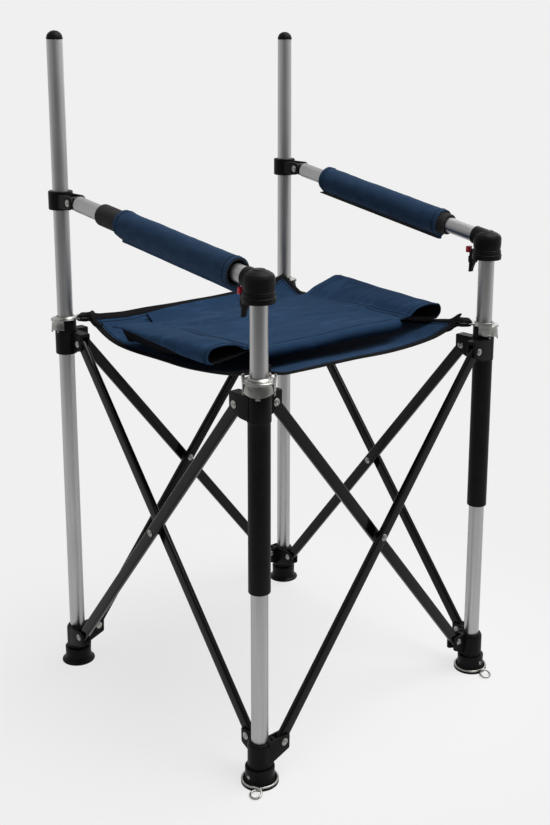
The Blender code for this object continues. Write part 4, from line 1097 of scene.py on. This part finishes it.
def post_collars():
    step = COLLAR_TOP - 4.4 * MM
    ring = turned([
        (COLLAR_R - 0.9 * MM, COLLAR_TOP), (COLLAR_R - 0.9 * MM, step), (COLLAR_R, step - 0.6 * MM),
        (COLLAR_R - 0.4 * MM, COLLAR_BOTTOM), (BORE_R, COLLAR_BOTTOM), (BORE_R, COLLAR_TOP),
    ], ring=True, soft=0.9 * MM)
    half = LEVER_HALF
    lug = block((-half - 3 * MM, 14 * MM, COLLAR_BOTTOM), (half + 3 * MM, LEVER_AT + 3 * MM, step), 1.2 * MM)
    far = (half + MM, LEVER_AT + 2.6 * MM, COLLAR_TOP - 0.4 * MM)
    stop = block((-half - MM, 14 * MM, step - MM), far, 1.0 * MM)
    arch = [(13 * MM, COLLAR_BOTTOM - 0.6 * MM), (16.4 * MM, COLLAR_BOTTOM - 1.7 * MM),
            (19 * MM, LEVER_Z - 0.8 * MM), (LEVER_AT - 2.6 * MM, LEVER_Z - 4.2 * MM)]
    nose = arc((LEVER_AT + 0.6 * MM, LEVER_Z - 2 * MM), 3.9 * MM, 230, 360, 10)
    cheek = [(13 * MM, COLLAR_BOTTOM + MM), *arch, *nose, (LEVER_AT + 4.5 * MM, COLLAR_BOTTOM + MM)]
    cheeks = [moved(plate([cheek], a, b, 0.5 * MM), ALONG_Y)
              for a, b in ((half + GAP, half + 2.6 * MM), (-half - 2.6 * MM, -half - GAP))]
    collar = gathered(ring, lug, stop, *cheeks)
    # The lever: straight outside, hollowed inside, with a rounded tip.
    drop, knuckle = LEVER_DROP, COLLAR_BOTTOM - GAP - LEVER_Z
    tip = (3.6 * MM, 1.9 * MM - drop)
    hook = [*arc((0, 0), knuckle, 60, 180, 7), (-2.6 * MM, -drop * 0.25), (-0.6 * MM, -drop * 0.5),
            (1.2 * MM, -drop * 0.75), *arc(tip, 1.9 * MM, 190, 350, 9), (5.2 * MM, -drop * 0.45),
            (4.6 * MM, -drop * 0.1)]
    hook = [tuple(p) for p in flowing(hook, 3, True)]
    lever = moved(plate([hook], -half, half, 0.8 * MM), ALONG_Y)
    pin = moved(rod(1.5 * MM, half + 2.8 * MM, -half - 2.8 * MM, 24, 0.3 * MM), ACROSS)
    lever = gathered(lever, pin)
    width, depth, height = BUTTON_SIZE
    far = (width / 2, BUTTON_FACE + depth, height / 2)
    head = block((-width / 2, BUTTON_FACE, -height / 2), far, 1.6 * MM)
    back = Matrix.Translation((0, 0, -1.6 * MM)) @ Matrix.Rotation(-math.pi / 2, 4, "X")
    stem = moved(rod(2 * MM, 23.5 * MM, BUTTON_FACE + MM, 24), back)
    button = gathered(head, stem)
    for side, index in FRONT:
        mesh = moved(collar, leg_at(index))
        place(f"collar_{side}", mesh, PLASTIC, f"front_{side}_hub", f"post_collar_{side}")
        mesh = moved(lever, leg_at(index, LEVER_Z) @ Matrix.Translation((0, LEVER_AT, 0)))
        place(f"lever_{side}", mesh, PLASTIC, f"{side}_lever", f"release_lever_{side}")
        mesh = moved(button, leg_at(index, BUTTON_Z))
        place(f"button_{side}", mesh, RED, f"{side}_button", f"lock_button_{side}")


# Cloth. Every sheet's UVs are in metres along its own threads.
def edge_drop(side, along):
    """How far an edge of the seat hangs below its corners."""
    first, last = SEAT_DROP[side]
    drop = (first + (last - first) * smooth(along, -0.4, 0.4)) * MM
    return drop * (1 - abs(along) ** SEAT_POWER[side][along > 0])


def seat_point(u, v):
    """A point on the sling, u across and v front to back, both from -1 to 1."""
    inset = SEAT_INSET / SEAT_HALF
    x = SEAT_HALF * u * (1 - inset * (1 - v * v))
    y = SEAT_HALF * v * (1 - inset * (1 - u * u))
    across, back = (1 + u) / 2, (1 + v) / 2
    sag = edge_drop("right", v) * (1 - across) + edge_drop("left", v) * across
    sag += edge_drop("front", u) * (1 - back) + edge_drop("rear", u) * back
    tie = math.hypot(HALF - abs(x), HALF - abs(y))
    lift, fade = CORNER_LIFT[f"{'front' if v < 0 else 'rear'}_{'right' if u < 0 else 'left'}"]
    lift *= MM * (1 - smooth(tie, 30 * MM, fade * MM))
    z = SEAT_CORNER_Z - sag * smooth(tie, 26 * MM, 44 * MM) + lift
    # Folds run out from each corner and fade towards the middle.
    angle = math.atan2(HALF - abs(y), HALF - abs(x))
    fold = math.sin(angle * 9 + 2 * noise.noise(Vector((x * 9, y * 9, 1)))) * 1.1 * MM
    z += fold * smooth(tie, 50 * MM, 90 * MM) * (1 - smooth(tie, 90 * MM, 190 * MM))
    z += noise.noise(Vector((x * 13, y * 13, 4))) * 1.0 * MM * smooth(tie, 60 * MM, 110 * MM)
    return Vector((x, y, z))


def seat_normal(u, v):
    step = 0.004
    across = seat_point(min(u + step, 1), v) - seat_point(max(u - step, -1), v)
    along = seat_point(u, min(v + step, 1)) - seat_point(u, max(v - step, -1))
    return across.cross(along).normalized()


def seat_height(x, y):
    """Height of the sling at a place, its u and v found by going back and forth."""
    u, v = x / SEAT_HALF, y / SEAT_HALF
    for _ in range(6):
        found = seat_point(u, v)
        u = min(max(u + (x - found.x) / SEAT_HALF, -1), 1)
        v = min(max(v + (y - found.y) / SEAT_HALF, -1), 1)
    return seat_point(u, v).z


def cloth_sheet(points, uvs, thickness):
    """A closed sheet from a grid of points, with None where the grid has no cloth."""
    shape = bmesh.new()
    layer = shape.loops.layers.uv.new("weave")
    where = {}
    grid = []
    for row, flat in zip(points, uvs):
        grid.append([])
        for point, uv in zip(row, flat):
            vert = None
            if point is not None:
                vert = shape.verts.new(point)
                where[vert] = uv
            grid[-1].append(vert)
    for low, high in zip(grid, grid[1:]):
        for corner_verts in zip(low, low[1:], high[1:], high):
            if all(corner_verts):
                face = shape.faces.new(corner_verts)
                for loop in face.loops:
                    loop[layer].uv = where[loop.vert]
    bmesh.ops.delete(shape, geom=[v for v in shape.verts if not v.link_faces], context="VERTS")
    mesh = meshed(shape)
    for finish in (NAVY, WEBBING):
        mesh.materials.append(finish)
    solidify = {"thickness": thickness, "offset": 0, "use_even_offset": True, "use_quality_normals": True}
    made = evaluated(mesh, [("SOLIDIFY", {**solidify, "material_offset": 1})])
    # The back faces are marked for the material, which paints them near black as shade.
    painted_shade = made.attributes.new("painted_shade", "FLOAT", "FACE")
    painted_shade.data.foreach_set("value", [float(face.material_index) for face in made.polygons])
    return made


def travelled(points):
    """The distance gone along a line at each of its points."""
    gone = [0.0]
    for a, b in zip(points, points[1:]):
        gone.append(gone[-1] + (Vector(b) - Vector(a)).length)
    return gone


def tape_loft(sections):
    """Folded tape from its closed sections, with UVs in metres along it and round it."""
    mesh = lofted(sections)
    layer = mesh.uv_layers.new(name="weave")
    runs, rounds = travelled([ring[0] for ring in sections]), travelled(sections[0])
    spots = {}
    for k, ring in enumerate(sections):
        for i, p in enumerate(ring):
            spots[tuple(round(c, 6) for c in p)] = (runs[k], rounds[i])
    for loop in mesh.loops:
        key = tuple(round(c, 6) for c in mesh.vertices[loop.vertex_index].co)
        layer.data[loop.index].uv = spots.get(key, (0, 0))
    return mesh


def folds_with_frame(piece):
    """Gives a soft piece a mesh of its own."""
    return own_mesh(piece)


def edge_binding(path):
    """Tape folded over an edge. The path gives (u, v, step inwards in u, step inwards in v)."""
    sections = []
    for u, v, du, dv in path:
        depths = [BINDING, BINDING * 0.66, BINDING * 0.33, 0.8 * MM]
        spots = [(u + du * d / SEAT_HALF, v + dv * d / SEAT_HALF) for d in depths]
        points = [seat_point(*spot) for spot in spots]
        normal = seat_normal(*spots[-1])
        out = (points[-1] - points[0]).normalized()
        proud = CLOTH / 2 + 0.9 * MM
        edge = seat_point(u, v)
        ring = [p + normal * proud for p in points]
        side, turn = edge + out * 0.6 * MM, normal * 1.2 * MM
        ring += [side + turn, edge + out * 1.2 * MM, side - turn]
        ring += [p - normal * proud for p in reversed(points)]
        ring += [points[0] - normal * 0.2 * MM, points[0] + normal * 0.2 * MM]
        sections.append(ring)
    return sections


def seat_slings():
    across, deep = 110, 56
    for name, sign in (("rear", 1), ("front", -1)):
        rows, uvs = [], []
        for j in range(deep + 1):
            v = j / deep if sign > 0 else j / deep - 1
            rows.append([seat_point(-1 + 2 * i / across, v) for i in range(across + 1)])
            uvs.append([((2 * i / across) * SEAT_HALF, v * SEAT_HALF) for i in range(across + 1)])
        body = f"seat_{name}"
        sheet = cloth_sheet(rows, uvs, CLOTH)
        seat = place(f"sling_{name}", sheet, NAVY, body, f"seat_sling_{name}", sharp=60)
        count = 80
        paths = [[(-1 + 2 * i / count, sign, 0, -sign) for i in range(count + 1)]]
        for u in (-1, 1):
            paths.append([(u, sign * i / (count // 2), -u, 0) for i in range(count // 2 + 1)])
        tapes = [tape_loft(edge_binding(path)) for path in paths]
        tape = place(f"sling_binding_{name}", gathered(*tapes), WEBBING, body, sharp=60)
        lines = []
        for path in paths:
            for inset in (BINDING - 2 * MM, BINDING + 4 * MM):
                line = []
                for u, v, du, dv in path[2:-2]:
                    at = (u + du * inset / SEAT_HALF, v + dv * inset / SEAT_HALF)
                    proud = CLOTH / 2 + (1.0 * MM if inset < BINDING else 0.1 * MM)
                    line.append(seat_point(*at) + seat_normal(*at) * proud)
                lines.append(line)
        sewn = stitches(f"sling_stitches_{name}", lines, BLACK_THREAD, body)
        for piece in (seat, tape, sewn):
            folds_with_frame(piece)


def corner_straps():
    """Webbing sewn under each seat corner and looped round the bar of the hanger's tongue."""
    sewn = ((54, 2.4), (48, 2.4), (42.5, 2.5))
    loop = ((37.5, 540), (33.5, 538.6), (28, 538), (23, 537.8), (20.4, 537), (19.5, 535.2), (20.4, 532.9),
            (24, 532.2), (31, 532), (37.5, 532.8))
    back = ((43, 5.8), (48, 5.6), (54, 5.4))
    half, thick = 11.5 * MM, 1.7 * MM
    edge = ((-1, -0.6), (-0.96, -1), (0.96, -1), (1, -0.6), (1, 0.6), (0.96, 1), (-0.96, 1), (-1, 0.6))
    for index, name in enumerate(CORNERS):
        at = corner(index) @ INWARD

        def below(points):
            spots = [at @ Vector((r * MM, 0, 0)) for r, _ in points]
            return [(r * MM, seat_height(p.x, p.y) - gap * MM, 0) for (r, gap), p in zip(points, spots)]

        line = flowing(below(sewn) + [(r * MM, z * MM, 0) for r, z in loop] + below(back), 4)
        sections = []
        for k, p in enumerate(line):
            ahead = line[min(k + 1, len(line) - 1)] - line[max(k - 1, 0)]
            side = Vector((-ahead.y, ahead.x, 0)).normalized()
            narrow = half * (0.84 + 0.16 * smooth(p.x, 26 * MM, 38 * MM))
            spots = [(p + side * (t * thick), w * narrow) for w, t in edge]
            sections.append([(q.x, across, q.y) for q, across in spots])
        mesh = moved(tape_loft(sections), at)
        place(f"corner_strap_{name}", mesh, WEBBING, f"{name}_hub", sharp=60)


def panel_half():
    """Half of the back panel's section as (x, lift) from the tunnel's lower edge, round it, to the middle."""
    layer = PANEL_CLOTH + 0.5 * MM
    h, w, base = TUNNEL_HEIGHT, TUNNEL_WIDTH, TUNNEL_BASE
    curl = h / 2
    end = base + w - curl
    loop = [(base + 3 * MM, 0), (base + w * 0.45, -0.5 * MM), (end, 0)]
    loop += [(end + 0.95 * curl * math.sin(a), curl - curl * math.cos(a)) for a in (0.8, 1.57, 2.34)]
    loop += [(end, h), (base + w * 0.55, h * 0.92), (base + w * 0.28, h * 0.62)]
    loop += [(base + 7 * MM, layer + 2 * MM), (base - 3 * MM, layer), (base - 14 * MM, 1.2 * MM)]
    inside = [(base * k / 5, 0) for k in (4, 3, 2, 1, 0)]
    steps = 6
    line = flowing([(x, z, 0) for x, z in loop + inside], steps)
    return [(p.x, p.y) for p in line], (len(loop) - 1) * steps


def panel_point(x, lift, side, y, drop=0.0):
    """A point of the folded back panel. The drop is how far a turned-under layer lies below."""
    rest = smooth(PANEL_REAR - y, 10 * MM, 90 * MM)
    low, high = TUNNEL_TOP[side]
    along = (y - PANEL_FRONT) / (PANEL_TUNNEL_END - PANEL_FRONT)
    beyond = max(abs(x) - TUNNEL_BASE, 0) / TUNNEL_WIDTH
    # The tunnels are open at the front and pressed flat at the rear, with a straight upper edge.
    press = 1 - TUNNEL_PRESS[side] * smooth(along, 0.1, 0.9)
    rise = (low + (high - low) * along - TUNNEL_HEIGHT * press) * beyond
    # Towards the rear the tunnel's lower layer hangs loose.
    loose = smooth(beyond, 0, 0.3) * (1 - smooth(beyond, 0.62, 0.83)) if lift < 0.6 * MM else 0
    slack = TUNNEL_SLACK[side] * loose * smooth(along, 0.1, 0.7)
    lift *= press
    tilt = PANEL_TILT * (min(max(x, -0.85 * TUNNEL_BASE), TUNNEL_BASE) + 0.85 * TUNNEL_BASE)
    taper = 1 - 0.12 * (1 - smooth(PANEL_REAR - y, 0, PANEL_REAR - PANEL_TUNNEL_END))
    px = x * taper
    py = y + PANEL_SHEAR * px * smooth(PANEL_REAR - y, 0, 120 * MM)
    py += TUNNEL_REACH[side] * beyond * max(along, 0)
    on_seat = seat_height(px, py) + (CLOTH + PANEL_CLOTH) / 2 + 2.2 * MM
    free = max(PANEL_Z + tilt + rise - on_seat, 0.4 * MM)
    crease = noise.noise(Vector((px * 11, py * 17, 7))) * 2.0 * MM
    crease += noise.noise(Vector((px * 30 + py * 22, py * 30 - px * 14, 2))) * 1.0 * MM
    for turn, level in ((0.16, 62 * MM), (-0.42, 8 * MM)):
        crease += 1.7 * MM * math.exp(-((y - level - turn * x) / (3.6 * MM)) ** 2) * (1 - beyond)
    for seam in (PANEL_FRONT + HEM, PANEL_REAR - REAR_SEAM):
        crease -= 0.9 * MM * math.exp(-((y - seam) / (2.2 * MM)) ** 2)
    z = on_seat + max(free * rest + lift + crease * rest - slack, 0.4 * MM)
    return Vector((px, py, z - min(drop, max(z - on_seat - 0.6 * MM, 0))))


def back_panel():
    half, flap_from = panel_half()
    section = [(-x, z, "right") for x, z in half] + [(x, z, "left") for x, z in reversed(half[:-1])]
    last = len(section) - 1
    arcs = travelled([(x, lift) for x, lift, _ in section])
    front = PANEL_FRONT
    # The front edge is turned under: lower layer, round fold, then the open panel.
    hem = ((42, 13), (28, 14.5), (14, 15.4), (6, 15), (1.2, 13.2), (-1.8, 10), (-2.8, 6.6), (-2.0, 3.2),
           (0.4, 0.8))
    hem = [(front + y, drop) for y, drop in in_mm(hem)]
    body_rows = [(front + 3 * MM + (PANEL_TUNNEL_END - front - 3 * MM) * k / 84, 0) for k in range(85)]
    rear_rows = [(PANEL_TUNNEL_END + (PANEL_REAR - PANEL_TUNNEL_END) * k / 32, 0) for k in range(1, 33)]
    rows, uvs = [], []
    lengthwise = hem + body_rows + rear_rows
    for k, ((y, drop), run) in enumerate(zip(lengthwise, travelled(lengthwise))):
        open_row = len(hem) <= k < len(hem) + len(body_rows)
        row = []
        for i, (x, lift, side) in enumerate(section):
            if open_row or flap_from <= i <= last - flap_from:
                row.append(panel_point(x, lift, side, y, drop))
            else:
                row.append(None)
        rows.append(row)
        uvs.append([(a, run) for a in arcs])
    mesh = cloth_sheet(rows, uvs, PANEL_CLOTH)
    # The tunnels' lower layers are painted near black on both faces, as shade.
    below = arcs[TUNNEL_UNDER]
    painted_shade = mesh.attributes["painted_shade"].data
    weave = mesh.uv_layers["weave"].data
    for face in mesh.polygons:
        middle = sum(weave[k].uv.x for k in face.loop_indices) / face.loop_total
        if not below < middle < arcs[-1] - below:
            painted_shade[face.index].value = 1.0
    panel = place("folded_panel", mesh, NAVY, "panel", "back_panel", sharp=60)
    proud = PANEL_CLOTH / 2 + 0.15 * MM
    lines = []
    for side, sign in (("right", -1), ("left", 1)):
        for x, lift in ((TUNNEL_BASE - 5 * MM, 2.1 * MM), (TUNNEL_BASE + 3 * MM, 3.4 * MM)):
            ys = [front + 4 * MM + (PANEL_TUNNEL_END - front - 8 * MM) * k / 60 for k in range(61)]
            lines.append([panel_point(sign * x, lift + proud, side, y) for y in ys])
    for y in (front + HEM, PANEL_REAR - REAR_SEAM):
        xs = [-0.96 * TUNNEL_BASE + 1.92 * TUNNEL_BASE * k / 70 for k in range(71)]
        lines.append([panel_point(x, proud, "right" if x < 0 else "left", y) for x in xs])
    # Hems at both ends of each tunnel, along the upper cloth.
    upper = [half[i] for i in range(flap_from) if half[i][1] > 0.2 * TUNNEL_HEIGHT]
    curl = TUNNEL_HEIGHT / 2
    turn_at = TUNNEL_BASE + TUNNEL_WIDTH - curl
    for side, sign in (("right", -1), ("left", 1)):
        for y in (front + 9 * MM, PANEL_TUNNEL_END - 7 * MM):
            line = []
            for x, lift in upper:
                around = math.atan2(lift - curl, x - turn_at)
                out, up = (math.cos(around) * proud, math.sin(around) * proud) if x > turn_at else (0, proud)
                line.append(panel_point(sign * (x + out), lift + up, side, y))
            lines.append(line)
    sewn = stitches("panel_stitches", lines, THREAD, "panel")
    for piece in (panel, sewn):
        folds_with_frame(piece)


# Studio: pale floor, soft light from above, camera at the photograph's place.
def seen_rays(tree):
    """1 on the rays that show the studio itself: straight to the camera, mirrored or through glass."""
    rays = add(tree, "ShaderNodeLightPath").outputs
    first = maths(tree, "MAXIMUM", rays["Is Camera Ray"], rays["Is Glossy Ray"])
    return maths(tree, "MAXIMUM", first, rays["Is Transmission Ray"])


def studio():
    mesh = bpy.data.meshes.new("floor")
    mesh.from_pydata([(-40, -40, 0), (40, -40, 0), (40, 40, 0), (-40, 40, 0)], [], [(0, 1, 2, 3)])
    floor = bpy.data.objects.new("floor", mesh)
    made, tree, shader = finish_material("pale_floor", Roughness=0.9)
    shader.inputs["Specular IOR Level"].default_value = 0.0
    patch = noise_at(tree, object_place(tree), 2.0)
    tree.links.new(ramp(tree, patch, (0.80, 0.80, 0.805), (0.82, 0.82, 0.825)), shader.inputs["Base Color"])
    # Near the chair the floor keeps its shading and shadow; further out it is one pale tone.
    level = object_place(tree, (1, 1, 0))
    away = add(tree, "ShaderNodeVectorMath", {0: level}, operation="LENGTH").outputs["Value"]
    share = maths(tree, "MULTIPLY", seen_rays(tree), between(tree, away, 0.2, 0.62, 0.74, 1.0))
    # In reflections the floor ends a little way in front of the chair, as a studio's sheet does.
    ahead = dot(tree, level, [-c for c in AWAY])
    direct = add(tree, "ShaderNodeLightPath").outputs["Is Camera Ray"]
    pale = maths(tree, "MAXIMUM", between(tree, ahead, 0.7, 1.7, 1.0, 0.0), direct)
    tone = ramp(tree, pale, (0.2, 0.2, 0.205), BACKDROP, 0.0, 1.0)
    glow = add(tree, "ShaderNodeEmission", {"Color": tone, "Strength": 1.0})
    both = add(tree, "ShaderNodeMixShader", {0: share, 1: shader.outputs[0], 2: glow.outputs[0]})
    tree.links.new(both.outputs[0], tree.nodes["Material Output"].inputs["Surface"])
    mesh.materials.append(made)
    bpy.context.scene.collection.objects.link(floor)

    world = bpy.data.worlds.new("studio")
    bpy.context.scene.world = world
    world.use_nodes = True
    tree = world.node_tree
    tree.nodes.clear()
    way = add(tree, "ShaderNodeTexCoord").outputs["Generated"]
    # Pale beyond the chair, dimmer on the camera's side.
    direct = add(tree, "ShaderNodeLightPath").outputs["Is Camera Ray"]
    share = maths(tree, "MAXIMUM", between(tree, dot(tree, way, AWAY), -0.9, 0.1), direct)
    room = ramp(tree, share, (0.24, 0.24, 0.245), BACKDROP, 0.0, 1.0)
    soft = add(tree, "ShaderNodeBackground", {"Color": (1, 1, 1, 1), "Strength": 0.36})
    backdrop = add(tree, "ShaderNodeBackground", {"Color": room, "Strength": 1.0})
    both = add(tree, "ShaderNodeMixShader", {0: seen_rays(tree), 1: soft.outputs[0], 2: backdrop.outputs[0]})
    add(tree, "ShaderNodeOutputWorld", {"Surface": both.outputs[0]})

    def lamp(name, place_at, aim, size, power):
        data = bpy.data.lights.new(name, "AREA")
        data.shape = "RECTANGLE"
        data.size, data.size_y = size
        data.energy = power
        made = bpy.data.objects.new(name, data)
        made.location = place_at
        made.rotation_mode = "QUATERNION"
        made.rotation_quaternion = (Vector(aim) - Vector(place_at)).to_track_quat("-Z", "Y")
        bpy.context.scene.collection.objects.link(made)

    lamp("left_softbox", (-3.0, -0.2, 2.3), (0, 0, 0.4), (2.2, 2.2), 6)
    lamp("top_softbox", (0.9, -1.0, 3.2), (0, 0, 0.4), (2.6, 2.6), 130)
    lamp("right_softbox", (2.6, 1.0, 1.8), (0, 0, 0.4), (1.6, 2.2), 12)


def camera():
    """A pinhole fitted to the photograph."""
    width, height, sensor = 550, 825, 36
    focal, centre_x, centre_y = 1205.15, 309.1, 311.8
    yaw, pitch, roll = (math.radians(a) for a in (-43.41, 13.11, 0.43))
    back = Vector((math.sin(yaw) * math.cos(pitch), -math.cos(yaw) * math.cos(pitch), math.sin(pitch)))
    right = (-back).cross(Vector((0, 0, 1))).normalized()
    up = right.cross(-back)
    c, s = math.cos(roll), math.sin(roll)
    data = bpy.data.cameras.new("camera")
    data.sensor_width = sensor
    data.lens = focal * sensor / height
    data.shift_x = -(centre_x - width / 2) / height
    data.shift_y = (centre_y - height / 2) / height
    made = bpy.data.objects.new("camera", data)
    place_at = Vector((-1.1049, -1.2409, 0.9333)) + SHIFT
    made.matrix_world = axes(c * right + s * up, c * up - s * right, back, place_at)
    bpy.context.scene.collection.objects.link(made)
    bpy.context.scene.camera = made


legs()
feet()
peg_rings()
hubs()
hangers()
bars()
clamps()
arms()
post_collars()
seat_slings()
corner_straps()
back_panel()
studio()
camera()

for helper in (RIVET, SCREW):
    bpy.data.objects.remove(helper, do_unlink=True)
bpy.context.scene.view_settings.view_transform = "Standard"
